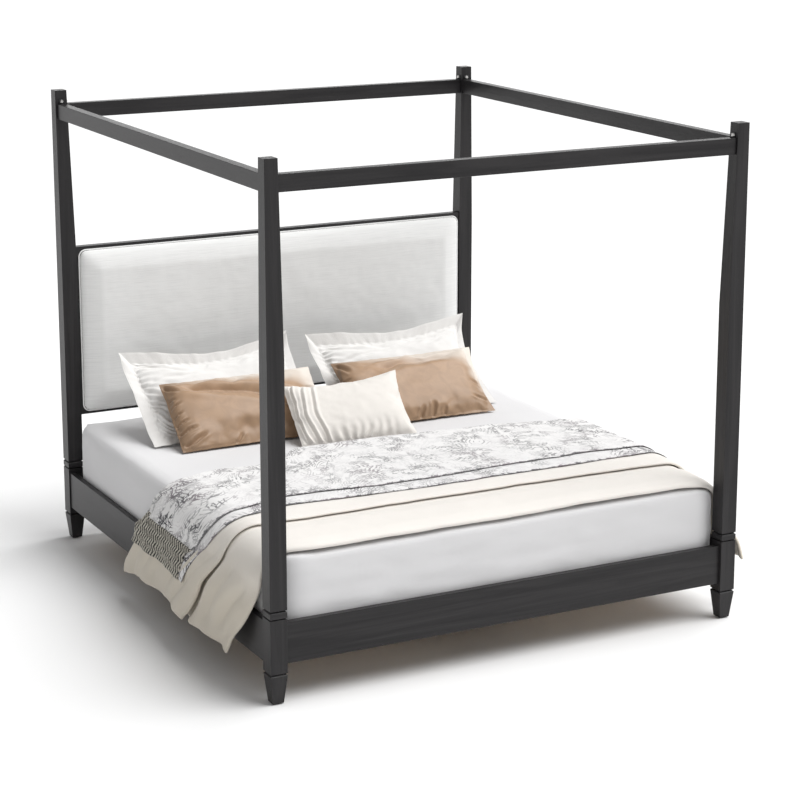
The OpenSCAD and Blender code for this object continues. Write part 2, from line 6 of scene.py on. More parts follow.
import bmesh
import bpy
import numpy as np
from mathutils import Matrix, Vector


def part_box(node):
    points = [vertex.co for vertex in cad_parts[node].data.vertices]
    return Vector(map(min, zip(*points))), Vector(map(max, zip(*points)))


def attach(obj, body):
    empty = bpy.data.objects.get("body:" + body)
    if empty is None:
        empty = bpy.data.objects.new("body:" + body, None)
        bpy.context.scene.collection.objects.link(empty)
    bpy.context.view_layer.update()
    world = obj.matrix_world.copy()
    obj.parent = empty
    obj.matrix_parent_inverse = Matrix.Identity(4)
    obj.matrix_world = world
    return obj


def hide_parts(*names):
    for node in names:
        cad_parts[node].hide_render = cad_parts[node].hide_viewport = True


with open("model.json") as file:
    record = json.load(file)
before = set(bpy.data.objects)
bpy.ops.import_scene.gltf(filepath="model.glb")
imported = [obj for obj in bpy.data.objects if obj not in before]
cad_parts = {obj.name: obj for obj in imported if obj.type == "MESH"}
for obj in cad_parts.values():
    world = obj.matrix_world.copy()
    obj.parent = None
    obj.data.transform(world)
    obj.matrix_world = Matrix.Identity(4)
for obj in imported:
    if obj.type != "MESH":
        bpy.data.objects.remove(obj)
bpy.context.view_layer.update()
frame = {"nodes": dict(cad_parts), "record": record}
scene = bpy.context.scene

# ---------------------------------------------------------------- camera, floor and light

CAMERA_PLACE = (-4.1326, -8.1598, 3.1714)
CAMERA_TILT, CAMERA_TURN = 77.246, -27.405
LENS_MM, SENSOR_MM = 101.43, 36
CAMERA_SHIFT = (-0.0025, -0.0966)
SKY_STRENGTH = 0.35
SUN_FROM, SUN_SPREAD, SUN_STRENGTH = (0.50, -0.20, 0.85), 55, 3.5
SOFTBOX_PLACE, SOFTBOX_FROM, SOFTBOX_SIZE = (3.3, 6.6, 3.3), (3.3, 6.6, 1.4), (6.0, 2.0)
SOFTBOX_WATTS = 55
FLOOR_SIDE, FLOOR_GAP = 240, 0.0005


def add_camera():
    """A long lens from the left of the foot end, well above the canopy's height."""
    data = bpy.data.cameras.new("camera")
    data.lens = LENS_MM
    data.sensor_width = SENSOR_MM
    data.shift_x, data.shift_y = CAMERA_SHIFT
    data.clip_end = 400
    camera = bpy.data.objects.new("camera", data)
    camera.location = CAMERA_PLACE
    camera.rotation_euler = (math.radians(CAMERA_TILT), 0, math.radians(CAMERA_TURN))
    scene.collection.objects.link(camera)
    scene.camera = camera


def add_light(name, kind, energy, back, place=(0, 0, 0)):
    """A light at place that shines away from the direction back."""
    data = bpy.data.lights.new(name, kind)
    data.energy = energy
    light = bpy.data.objects.new(name, data)
    light.location = place
    light.rotation_euler = Vector(back).to_track_quat("Z", "Y").to_euler()
    scene.collection.objects.link(light)
    return data


def add_studio():
    """White floor, even sky, a broad sun from the right of the foot and a softbox behind the headboard."""
    world = bpy.data.worlds.new("studio")
    scene.world = world
    world.use_nodes = True
    sky = world.node_tree.nodes["Background"]
    sky.inputs["Color"].default_value = (1, 1, 1, 1)
    sky.inputs["Strength"].default_value = SKY_STRENGTH
    sun = add_light("sun", "SUN", SUN_STRENGTH, SUN_FROM)
    sun.angle = math.radians(SUN_SPREAD)
    softbox = add_light("softbox", "AREA", SOFTBOX_WATTS, SOFTBOX_FROM, SOFTBOX_PLACE)
    softbox.shape = "RECTANGLE"
    softbox.size, softbox.size_y = SOFTBOX_SIZE
    bpy.ops.mesh.primitive_plane_add(size=FLOOR_SIDE, location=(0, 0, -FLOOR_GAP))
    floor = bpy.context.object
    floor.name = "floor"
    floor.data.materials.append(floor_paint())
    scene.view_settings.view_transform = "Standard"


# ---------------------------------------------------------------- materials


class Paint:
    """A node material with one Principled shader, and short calls for the nodes in front of it."""

    def __init__(self, name, **inputs):
        self.material = bpy.data.materials.new(name)
        self.material.use_nodes = True
        self.nodes = self.material.node_tree.nodes
        self.links = self.material.node_tree.links
        self.shader = self.nodes["Principled BSDF"]
        for key, value in inputs.items():
            self.shader.inputs[key.replace("_", " ")].default_value = value

    def add(self, kind, settings=None, **inputs):
        """A node of that kind; its inputs are numbers, colours or other nodes' outputs."""
        node = self.nodes.new("ShaderNode" + kind)
        for key, value in (settings or {}).items():
            setattr(node, key, value)
        for key, value in inputs.items():
            self.put(value, node.inputs[int(key[1:]) if key[1:].isdigit() else key.replace("_", " ")])
        return node

    def put(self, value, socket):
        if isinstance(value, bpy.types.NodeSocket):
            self.links.new(value, socket)
        else:
            socket.default_value = value

    def math(self, operation, a, b=0.0, c=0.0):
        return self.add("Math", {"operation": operation}, i0=a, i1=b, i2=c).outputs[0]

    def vector_math(self, operation, a, b=(0, 0, 0), c=(0, 0, 0)):
        return self.add("VectorMath", {"operation": operation}, i0=a, i1=b, i2=c)

    def parts(self, vector):
        """The x, y and z of a vector."""
        return self.add("SeparateXYZ", Vector=vector).outputs

    def mapped(self, coordinate, scale=1):
        """Object or UV coordinates, scaled by one number or by three."""
        source = self.add("TexCoord").outputs[coordinate]
        scale = scale if isinstance(scale, tuple) else (scale,) * 3
        return self.add("Mapping", Vector=source, Scale=scale).outputs[0]

    def noise(self, vector, scale=1.0, detail=2.0, roughness=0.5, distortion=0.0):
        return self.add("TexNoise", Vector=vector, Scale=scale, Detail=detail, Roughness=roughness,
                        Distortion=distortion).outputs["Fac"]

    def grain(self, scale, detail=2.0, roughness=0.5, distortion=0.0):
        """Noise over the object, scaled by one number or by three."""
        return self.noise(self.mapped("Object", scale), 1.0, detail, roughness, distortion)

    def spread(self, value, low, high, **inputs):
        """Value, from 0 to 1 or from From_Min to From_Max, moved to the range from low to high."""
        return self.add("MapRange", Value=value, To_Min=low, To_Max=high, **inputs).outputs[0]

    def ramp(self, factor, stops):
        """A colour ramp from (position, colour) pairs."""
        node = self.add("ValToRGB", Fac=factor)
        node.color_ramp.interpolation = "EASE"
        while len(node.color_ramp.elements) < len(stops):
            node.color_ramp.elements.new(0.5)
        for element, (position, colour) in zip(node.color_ramp.elements, stops):
            element.position = position
            element.color = (*colour, 1)
        return node.outputs[0]

    def mask(self, factor, start, end, most=1.0):
        """A ramp from 0 at start to most at end, or the other way round if end is the lower."""
        stops = [(start, (0, 0, 0)), (end, (most,) * 3)]
        return self.ramp(factor, sorted(stops))

    def blend(self, factor, a, b, kind="MIX"):
        node = self.add("Mix", {"data_type": "RGBA", "blend_type": kind})
        self.put(factor, node.inputs[0])
        for value, socket in ((a, node.inputs[6]), (b, node.inputs[7])):
            self.put((*value, 1) if isinstance(value, tuple) else value, socket)
        return node.outputs[2]

    def bump(self, height, distance, strength=1.0, normal=None):
        node = self.add("Bump", Height=height, Distance=distance, Strength=strength)
        if normal is not None:
            self.links.new(normal, node.inputs["Normal"])
        return node.outputs[0]

    def finish(self, colour, roughness=None, normal=None):
        for value, name in ((colour, "Base Color"), (roughness, "Roughness"), (normal, "Normal")):
            if value is not None:
                self.put(value, self.shader.inputs[name])
        return self.material


def shade(colour, factor):
    return tuple(min(1.0, channel * factor) for channel in colour)


def fabric(name, roughness, specular, sheen, sheen_roughness):
    return Paint(name, Roughness=roughness, Specular_IOR_Level=specular, Sheen_Weight=sheen,
                 Sheen_Roughness=sheen_roughness)


def floor_paint():
    paint = Paint("floor_white", Roughness=0.9, Specular_IOR_Level=0.1)
    return paint.finish(paint.ramp(paint.grain(0.4), [(0, (0.86, 0.86, 0.86)), (1, (0.88, 0.88, 0.88))]))


def wood_paint(name, axis, dark, light, roughness, coat):
    """Wood whose grain runs along an axis: 0 is X, 1 is Y and 2 is Z. coat is how much lacquer it has."""
    paint = Paint(name, Coat_Weight=coat, Coat_Roughness=0.30, Specular_IOR_Level=0.25)
    rings = paint.grain(tuple(1.1 if k == axis else 26.0 for k in range(3)), 4.0, 0.6, 0.6)
    pores = paint.grain(tuple(9.0 if k == axis else 420.0 for k in range(3)), 2.0, 0.6)
    gloss = paint.spread(rings, roughness - 0.05, roughness + 0.07)
    relief = paint.bump(rings, 0.0004, 0.5)
    relief = paint.bump(paint.mask(pores, 0.36, 0.5), 0.0003, 0.5, relief)
    return paint.finish(paint.ramp(rings, [(0.3, dark), (0.72, light)]), gloss, relief)


def metal_paint(name, colour, roughness):
    paint = Paint(name, Metallic=1.0)
    lines = paint.grain((900, 900, 90), 3.0)
    tone = paint.ramp(lines, [(0.2, shade(colour, 0.82)), (0.8, shade(colour, 1.08))])
    return paint.finish(tone, paint.spread(lines, roughness, roughness + 0.14), paint.bump(lines, 0.00004))


def powder_paint(name, colour, roughness):
    """Powder coated metal or moulded nylon, with a fine orange peel."""
    paint = Paint(name)
    peel = paint.grain(700)
    tone = paint.ramp(peel, [(0.2, shade(colour, 0.85)), (0.8, shade(colour, 1.25))])
    return paint.finish(tone, paint.spread(peel, roughness, roughness + 0.1), paint.bump(peel, 0.00012))


def weave(paint, pitch, depth):
    """Relief of a plain weave: two sets of threads, pitch metres apart in the UVs."""
    threads = [paint.math("ABSOLUTE", paint.math("SINE", part))
               for part in paint.parts(paint.mapped("UV", math.pi / pitch))[:2]]
    return paint.bump(paint.math("MAXIMUM", *threads), depth, 0.5)


def washed_cotton(name, crumple):
    """The paint, the slow drift of tone and the relief of washed cotton: a fine weave and soft creases."""
    paint = fabric(name, 0.82, 0.25, 0.15, 0.5)
    folds = paint.grain(14, 4.0, 0.55, 0.8)
    return paint, paint.grain(2.2), paint.bump(folds, crumple, 0.6, weave(paint, 0.0011, 0.0002))


def cotton_paint(name, colour, crumple):
    paint, drift, relief = washed_cotton(name, crumple)
    return paint.finish(paint.ramp(drift, [(0.3, shade(colour, 0.965)), (0.7, colour)]), None, relief)


def duvet_paint(name, middle, ends):
    """Warm white cotton, beige where it hangs at both ends: partly its own tone, partly painted shade. Its
    UVs are metres across and along.
    """
    paint, drift, relief = washed_cotton(name, 0.0012)
    away = paint.math("ABSOLUTE", paint.parts(paint.mapped("UV"))[0])
    settings = {"interpolation_type": "SMOOTHSTEP"}
    # Painted shade, partly the cloth's own warmer tone: ends is the darker beige for where the duvet hangs at
    # both sides.
    end = paint.add("MapRange", settings, Value=away, From_Min=0.86, From_Max=1.20)
    tone = paint.blend(end.outputs[0], paint.ramp(drift, [(0.3, shade(middle, 0.97)), (0.7, middle)]),
                       paint.ramp(drift, [(0.3, shade(ends, 0.96)), (0.7, ends)]))
    return paint.finish(tone, None, relief)


def linen_paint(name, colour):
    """Linen with long slubs that run across the headboard."""
    paint = fabric(name, 0.86, 0.2, 0.12, 0.5)
    slubs = paint.grain((7, 7, 330), 3.0, 0.6)
    ribs = paint.grain((260, 260, 6), 2.0, 0.6)
    tone = paint.ramp(slubs, [(0.25, shade(colour, 0.90)), (0.5, colour), (0.78, shade(colour, 1.07))])
    tone = paint.blend(paint.math("MULTIPLY", ribs, 0.25), tone, shade(colour, 0.93))
    return paint.finish(tone, None, paint.bump(slubs, 0.0007, 0.7, paint.bump(ribs, 0.0003, 0.5)))


def satin_paint(name, brown, painted_highlight):
    """Brown satin with painted shade at its left end and foot, and a painted highlight that pales it towards
    its top edge and its right end.
    """
    paint = fabric(name, 0.44, 0.45, 0.25, 0.35)
    across, up = paint.parts(paint.add("TexCoord").outputs["UV"])[:2]
    wander = paint.noise(paint.mapped("UV", (4, 6, 1)))
    wander = paint.math("MULTIPLY", paint.math("SUBTRACT", wander, 0.5), 0.16)
    up = paint.math("ADD", up, wander)
    # Painted highlight: masks for the pale sheen towards the right end and along the top edge.
    right = paint.math("MULTIPLY_ADD", up, 0.30, paint.math("ADD", across, wander))
    right = paint.mask(paint.math("SUBTRACT", right, 1.0), 0.0, 0.20)
    top = paint.math("MULTIPLY", up, paint.math("MULTIPLY_ADD", across, 0.5, 0.68))
    top = paint.mask(top, 0.66, 0.95, 0.8)
    folds = paint.grain(16, 4.0, 0.55, 1.0)
    # Painted shade: the brown darkens towards the foot and towards the left end.
    low = paint.blend(paint.mask(up, 0.75, 0.05), brown, shade(brown, 0.85))
    low = paint.blend(paint.mask(across, 0.24, 0.02), low, shade(brown, 0.66))
    cloud = paint.ramp(folds, [(0.3, (0.86, 0.86, 0.86)), (0.7, (1, 1, 1))])
    low = paint.blend(1.0, low, cloud, "MULTIPLY")
    tone = paint.blend(paint.math("MAXIMUM", top, right), low, painted_highlight)
    return paint.finish(tone, None, paint.bump(folds, 0.0006, 0.5))


def drawn_line(paint, distance, place, half):
    """1 where a distance is within half of place, else 0."""
    return paint.math("LESS_THAN", paint.math("ABSOLUTE", paint.math("SUBTRACT", distance, place)), half)


def blossoms(paint, flat, scale, petals, shift):
    """The outlines and veins of flowers, scale of them to a metre."""
    flat = paint.vector_math("ADD", flat, (shift, shift * 0.7, 0)).outputs[0]
    cell = paint.add("TexVoronoi", {"voronoi_dimensions": "2D"}, Vector=flat, Scale=scale).outputs
    local = paint.vector_math("SUBTRACT", flat, cell["Position"]).outputs[0]
    away = paint.vector_math("LENGTH", local).outputs["Value"]
    x, y = paint.parts(local)[:2]
    turn = paint.math("MULTIPLY", paint.math("ARCTAN2", y, x), petals)
    turn = paint.math("MULTIPLY", paint.math("MULTIPLY_ADD", paint.parts(cell["Color"])[0], 6.3, turn), 0.5)
    wave, valley = [paint.math("ABSOLUTE", paint.math(kind, turn)) for kind in ("SINE", "COSINE")]
    rim = paint.math("MULTIPLY_ADD", wave, 0.34 / scale, 0.12 / scale)
    rings = [drawn_line(paint, away, paint.math("MULTIPLY", rim, part), half)
             for part, half in ((1.0, 0.0034), (0.62, 0.0022), (0.25, 0.0030))]
    inside = paint.math("LESS_THAN", away, paint.math("MULTIPLY", rim, 0.95))
    return rings + [paint.math("MULTIPLY", paint.math("LESS_THAN", valley, 0.13), inside)]


def stems(paint, flat, scale, shift):
    """Pairs of lines between cells, scale of the cells to a metre."""
    flat = paint.vector_math("ADD", flat, (shift, shift * 0.3, 0)).outputs[0]
    settings = {"voronoi_dimensions": "2D", "feature": "DISTANCE_TO_EDGE"}
    edge = paint.add("TexVoronoi", settings, Vector=flat, Scale=scale).outputs["Distance"]
    return [drawn_line(paint, edge, inset * scale, half * scale)
            for inset, half in ((0.008, 0.0024), (0.024, 0.0020))]


def print_paint(name):
    """Line-drawn leaves and flowers in charcoal and mauve on white, laid out in the throw's flat metres."""
    paint = fabric(name, 0.85, 0.2, 0.1, 0.5)
    flat = paint.mapped("UV")
    bend = paint.add("TexNoise", Vector=flat, Scale=11.0, Detail=1.0).outputs["Color"]
    bent = paint.vector_math("MULTIPLY_ADD", bend, (0.045, 0.045, 0), flat).outputs[0]
    lines = blossoms(paint, bent, 5.5, 5.0, 0.0) + blossoms(paint, bent, 9.0, 3.0, 4.3)
    lines += stems(paint, bent, 6.5, 1.7) + stems(paint, bent, 11.0, 8.1)
    ink = lines[0]
    for line in lines[1:]:
        ink = paint.math("MAXIMUM", ink, line)
    # Painted highlight: the last factor below pales the ink over the bed's top, and leaves it full where the
    # throw hangs at the sides.
    away = paint.math("ABSOLUTE", paint.parts(flat)[0])
    for part in (paint.spread(paint.noise(flat, 6.5), 0.16, 1.0, From_Min=0.42, From_Max=0.56),
                 paint.spread(paint.noise(flat, 24.0), 0.0, 1.0, From_Min=0.40, From_Max=0.50),
                 paint.spread(away, 0.62, 1.0, From_Min=0.75, From_Max=1.10)):
        ink = paint.math("MULTIPLY", ink, part)
    front = paint.parts(paint.add("UVMap", {"uv_map": "rim"}).outputs[0])[0]
    ragged = paint.math("MULTIPLY_ADD", paint.noise(flat, 38.0, 3.0, 0.7), 0.100, -0.046)
    for reach, strength in ((ragged, 0.85), (0.0045, 0.55)):
        border = paint.math("MULTIPLY", paint.math("LESS_THAN", front, reach), strength)
        ink = paint.math("MAXIMUM", ink, border)
    dark, mauve = (0.040, 0.040, 0.048), (0.13, 0.10, 0.12)
    colour = paint.ramp(paint.noise(flat, 5.0, 1.0), [(0.45, dark), (0.66, mauve)])
    folds = paint.grain(18, 3.0, 0.5, 0.5)
    relief = paint.bump(folds, 0.0010, 0.6, weave(paint, 0.0016, 0.0003))
    return paint.finish(paint.blend(ink, (0.80, 0.79, 0.785), colour), None, relief)


RIB_PITCH, ZIGZAG_PITCH, ZIGZAG_DEPTH = 0.021, 0.040, 0.017


def knit_paint(name, dark, light):
    """Knit whose ribs change colour in the zigzag of their relief. Its UVs are metres across and along."""
    paint = fabric(name, 0.9, 0.15, 0.2, 0.4)
    across, along = paint.parts(paint.add("TexCoord").outputs["UV"])[:2]
    step = paint.math("FRACT", paint.math("DIVIDE", across, ZIGZAG_PITCH))
    zigzag = paint.math("ABSOLUTE", paint.math("SUBTRACT", step, 0.5))
    turn = paint.math("MULTIPLY_ADD", zigzag, 2 * ZIGZAG_DEPTH, along)
    ribs = paint.math("SINE", paint.math("MULTIPLY", turn, 2 * math.pi / RIB_PITCH))
    fleck = paint.math("MULTIPLY_ADD", paint.grain(130, 3.0, 0.6), 1.3, -0.15)
    tone = paint.ramp(paint.math("MULTIPLY_ADD", ribs, 0.42, fleck), [(0.12, dark), (0.95, light)])
    return paint.finish(tone, None, paint.bump(paint.grain(300, 3.0, 0.6), 0.0006))


BLACK_WOOD = ((0.013, 0.012, 0.013), (0.030, 0.028, 0.029), 0.36, 0.08)
PINE = ((0.56, 0.38, 0.21), (0.68, 0.50, 0.31), 0.62, 0.0)
PLY = ((0.50, 0.37, 0.23), (0.62, 0.48, 0.32), 0.66, 0.0)
PAINTS = {
    "black_wood": wood_paint("black_wood", 2, *BLACK_WOOD),
    "black_wood_x": wood_paint("black_wood_x", 0, *BLACK_WOOD),
    "black_wood_y": wood_paint("black_wood_y", 1, *BLACK_WOOD),
    "slat_wood": wood_paint("slat_wood", 0, *PINE),
    "cleat_wood": wood_paint("cleat_wood", 1, *PINE),
    "plywood": wood_paint("plywood", 0, *PLY),
    "zinc_steel": metal_paint("zinc_steel", (0.62, 0.62, 0.60), 0.30),
    "bright_steel": metal_paint("bright_steel", (0.80, 0.79, 0.77), 0.20),
    "black_steel": powder_paint("black_steel", (0.020, 0.020, 0.021), 0.42),
    "glide_plastic": powder_paint("glide_plastic", (0.09, 0.09, 0.09), 0.62),
    "headboard_linen": linen_paint("headboard_linen", (0.82, 0.82, 0.81)),
    "headboard_piping": cotton_paint("headboard_piping", (0.84, 0.84, 0.83), 0.0005),
    "sheet_cotton": cotton_paint("sheet_cotton", (0.72, 0.715, 0.722), 0.0010),
    # The second colour is partly the cloth's tone and partly painted shade for where it hangs.
    "duvet_cotton": duvet_paint("duvet_cotton", (0.82, 0.785, 0.74), (0.665, 0.61, 0.52)),
    "throw_print": print_paint("throw_print"),
    "throw_knit": knit_paint("throw_knit", (0.020, 0.019, 0.018), (0.58, 0.55, 0.48)),
    "sham_cotton": cotton_paint("sham_cotton", (0.78, 0.765, 0.745), 0.0014),
    # The second colour is the satin's painted highlight.
    "brown_satin": satin_paint("brown_satin", (0.425, 0.273, 0.166), (0.76, 0.70, 0.63)),
    "cream_cotton": cotton_paint("cream_cotton", (0.79, 0.755, 0.71), 0.0010),
}


def paint_with(obj, name):
    obj.data.materials.clear()
    obj.data.materials.append(PAINTS[name])


def stand_for(piece, node, slot, body, paint=None):
    """Paints a piece with paint, or else with the slot's paint, hides the CAD node it stands for and puts it
    on that body.
    """
    paint_with(piece, paint or slot)
    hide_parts(node)
    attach(piece, body)


# ---------------------------------------------------------------- numbers for cloth

NOISE_CELLS = 64


def smooth(low, high, value):
    """0 below low, 1 above high, and an even S between them."""
    t = np.clip((np.asarray(value, float) - low) / (high - low), 0, 1)
    return t * t * (3 - 2 * t)


def soft_noise(x, y, size, seed, octaves=1):
    """Smooth random heights from -1 to 1 that change over about size metres."""
    table = np.random.default_rng(seed).uniform(-1, 1, (NOISE_CELLS, NOISE_CELLS))
    total, height = 0.0, 1.0
    for octave in range(octaves):
        u = np.asarray(x, float) / size * 2 ** octave + 19.3 * octave
        v = np.asarray(y, float) / size * 2 ** octave + 7.7 * octave
        i, j = np.floor(u).astype(int), np.floor(v).astype(int)
        fu, fv = u - i, v - j
        fu, fv = fu * fu * (3 - 2 * fu), fv * fv * (3 - 2 * fv)
        i, j, right, below = [k % NOISE_CELLS for k in (i, j, i + 1, j + 1)]
        near = table[i, j] * (1 - fu) + table[right, j] * fu
        far = table[i, below] * (1 - fu) + table[right, below] * fu
        total = total + height * (near * (1 - fv) + far * fv)
        height *= 0.5
    return total


def curve(points, at):
    """A smooth line through (position, value) points that never overshoots them."""
    x, y = np.array(sorted(points), float).T
    step, rise = np.diff(x), np.diff(y)
    slope = rise / step
    before, after = slope[:-1], slope[1:]
    same = before * after > 0
    tangent = np.concatenate([slope[:1], np.zeros(len(x) - 2), slope[-1:]])
    tangent[1:-1][same] = 2 * before[same] * after[same] / (before[same] + after[same])
    at = np.clip(np.asarray(at, float), x[0], x[-1])
    k = np.clip(np.searchsorted(x, at) - 1, 0, len(step) - 1)
    h, t = step[k], (at - x[k]) / step[k]
    return ((2 * t ** 3 - 3 * t ** 2 + 1) * y[k] + (t ** 3 - 2 * t ** 2 + t) * h * tangent[k]
            + (3 * t ** 2 - 2 * t ** 3) * y[k + 1] + (t ** 3 - t ** 2) * h * tangent[k + 1])


def bell(value, centre, width):
    """1 at centre, falling off on both sides within about width."""
    return np.exp(-((value - centre) / width) ** 2)


def fold(x, y, start, end, width, depth):
    """A crease along a line from start to end: a sharp valley with a soft rim on both sides."""
    start, end = np.array(start, float), np.array(end, float)
    run = end - start
    length = np.hypot(*run)
    run /= length
    along = ((x - start[0]) * run[0] + (y - start[1]) * run[1]) / length
    across = (y - start[1]) * run[0] - (x - start[0]) * run[1]
    reach = smooth(-0.12, 0.15, along) * (1 - smooth(0.75, 1.12, along))
    t = np.abs(across) / width
    return depth * reach * (-np.exp(-t ** 1.3 * 1.2) + 0.45 * bell(t, 1.9, 0.9))


def folds(x, y, creases):
    return sum(fold(x, y, *crease) for crease in creases)


# ---------------------------------------------------------------- meshes


def new_piece(name, points, faces, uv=None, rim=None):
    """A smooth mesh object. uv has its points' flat places and rim their distances to an edge."""
    mesh = bpy.data.meshes.new(name)
    faces = [tuple(int(i) for i in face) for face in faces]
    mesh.from_pydata(np.asarray(points, float).tolist(), [], faces)
    corners = np.zeros(len(mesh.loops), np.int32)
    mesh.loops.foreach_get("vertex_index", corners)
    for layer, places in (("flat", uv), ("rim", rim)):
        if places is not None:
            data = mesh.uv_layers.new(name=layer).data
            data.foreach_set("uv", np.asarray(places, np.float32)[corners].ravel())
    mesh.validate()
    obj = bpy.data.objects.new(name, mesh)
    scene.collection.objects.link(obj)
    for polygon in mesh.polygons:
        polygon.use_smooth = True
    return obj


def cells(rows, columns, start=0, flip=False):
    """The quads of a grid of rows by columns points whose first point has number start."""
    i, j = np.meshgrid(np.arange(rows - 1), np.arange(columns - 1), indexing="ij")
    a = start + i * columns + j
    quads = np.stack([a, a + 1, a + 1 + columns, a + columns], -1).reshape(-1, 4)
    return quads[:, ::-1] if flip else quads


def numbered(rows, columns):
    """The numbers of a grid's points and of a second layer's that shares its border, and where that is."""
    number = np.arange(rows * columns).reshape(rows, columns)
    border = np.zeros((rows, columns), bool)
    border[[0, -1], :] = border[:, [0, -1]] = True
    under = number + rows * columns
    under[border] = number[border]
    return number, under, border


def border_loop(number):
    """The numbers round a grid's border, in order."""
    return np.concatenate([number[0], number[1:, -1], number[-1, -2::-1], number[-2:0:-1, 0]])


def grid_normals(grid):
    down = np.gradient(grid, axis=0)
    across = np.gradient(grid, axis=1)
    normal = np.cross(across, down)
    return normal / np.maximum(np.linalg.norm(normal, axis=2, keepdims=True), 1e-9)


def border_distance(grid):
    """How far each point of a grid is from the grid's nearest border, along the grid."""
    down = np.linalg.norm(np.diff(grid, axis=0), axis=2)
    across = np.linalg.norm(np.diff(grid, axis=1), axis=2)
    rows, columns = grid.shape[:2]
    from_top = np.vstack([np.zeros((1, columns)), np.cumsum(down, axis=0)])
    from_left = np.hstack([np.zeros((rows, 1)), np.cumsum(across, axis=1)])
    from_bottom, from_right = from_top[-1:] - from_top, from_left[:, -1:] - from_left
    return np.minimum.reduce([from_top, from_bottom, from_left, from_right])


def shell(name, grid, thick, rim, uv, edges=None):
    """A closed piece about a grid of points, thick in the middle and rounded off within rim of its border."""
    rows, columns = grid.shape[:2]
    away = np.clip(border_distance(grid) / rim, 0, 1)
    half = (0.5 * np.asarray(thick) * np.sqrt(np.clip(1 - (1 - away) ** 2, 0, 1)))[..., None]
    normal = -grid_normals(grid)
    upper, lower = grid + normal * half, grid - normal * half
    under = numbered(rows, columns)[1]
    quads = np.vstack([cells(rows, columns), under.ravel()[cells(rows, columns, 0, True)]])
    used, small = np.unique(quads, return_inverse=True)

    def both(first, second):
        return np.vstack([layer.reshape(-1, layer.shape[-1]) for layer in (first, second)])[used]

    far = None if edges is None else both(edges, edges)
    return new_piece(name, both(upper, lower), small.reshape(-1, 4), both(uv, uv), far)


def spaced(count, length, rim):
    """Positions from 0 to 1 along a length, closer together within rim of both ends."""
    inner = np.linspace(rim / length, 1 - rim / length, count)
    end = rim / length * (1 - np.cos(np.linspace(0, math.pi / 2, 5)[:-1]))
    return np.concatenate([end, inner, 1 - end[::-1]])


# ---------------------------------------------------------------- wood and hardware

EASE_WIDTHS = {"black_wood": 0.0013, "slat_wood": 0.0015, "plywood": 0.0008, "black_steel": 0.0005}


def eased(node, width):
    """A copy of a CAD node with its sharp edges rounded off."""
    mesh = frame["nodes"][node].data.copy()
    piece = bpy.data.objects.new(node + "_eased", mesh)
    scene.collection.objects.link(piece)
    work = bmesh.new()
    work.from_mesh(mesh)
    bmesh.ops.remove_doubles(work, verts=work.verts, dist=0.00005)
    bmesh.ops.dissolve_limit(work, angle_limit=math.radians(1.0), verts=work.verts, edges=work.edges)
    work.to_mesh(mesh)
    work.free()
    if mesh.has_custom_normals:
        bpy.context.view_layer.objects.active = piece
        bpy.ops.mesh.customdata_custom_splitnormals_clear()
    for polygon in mesh.polygons:
        polygon.use_smooth = True
    bevel = piece.modifiers.new("ease", "BEVEL")
    bevel.width = width
    bevel.segments = 2
    bevel.limit_method = "ANGLE"
    bevel.angle_limit = math.radians(30)
    bevel.harden_normals = True
    bevel.use_clamp_overlap = True
    return piece


def wood_with_grain(node, slot):
    """The name of a slot's paint for a node, which for the frame's wood follows the node's longest side."""
    if slot == "black_wood":
        low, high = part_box(node)
        along = max(range(3), key=lambda axis: (high - low)[axis])
        return ("black_wood_x", "black_wood_y", "black_wood")[along]
    return "cleat_wood" if node.startswith("cleat_") else slot


def dress_frame():
    """Rounds the edges of wooden and powder coated nodes, and gives each other CAD node its finish."""
    record = frame["record"]
    slot_of = {part["node"]: part["material_slot"] for part in record["subparts"]}
    body_of = {node: body for body, nodes in record["behaviour"]["bodies"].items() for node in nodes}
    for node, obj in frame["nodes"].items():
        slot = slot_of[node]
        paint = wood_with_grain(node, slot)
        if slot in EASE_WIDTHS:
            stand_for(eased(node, EASE_WIDTHS[slot]), node, slot, body_of[node], paint)
        else:
            paint_with(obj, paint)


# ---------------------------------------------------------------- headboard

BOARD_CORNER, BOARD_ROLL, BEAD_PLAY = 0.030, 0.088, 0.0034
PAD_EDGE, PAD_DEPTH_LESS = 0.007, 0.010
CORD_POINTS, CORD_SIDES, ARC_STEPS = 899, 12, 12


def rounded_plan(x, y, half_x, half_y, corner):
    """Moves the square rings of a grid's corners on to arcs. Gives new places and distances inward."""
    inner_x, inner_y = half_x - corner, half_y - corner
    qx, qy = x - np.clip(x, -inner_x, inner_x), y - np.clip(y, -inner_y, inner_y)
    length = np.maximum(np.hypot(qx, qy), 1e-12)
    scale = np.maximum(np.abs(qx), np.abs(qy)) / length
    new_x = np.clip(x, -inner_x, inner_x) + qx * scale
    new_y = np.clip(y, -inner_y, inner_y) + qy * scale
    dx, dy = np.abs(new_x) - inner_x, np.abs(new_y) - inner_y
    outside = np.hypot(np.maximum(dx, 0), np.maximum(dy, 0))
    return new_x, new_y, corner - outside - np.minimum(np.maximum(dx, dy), 0)


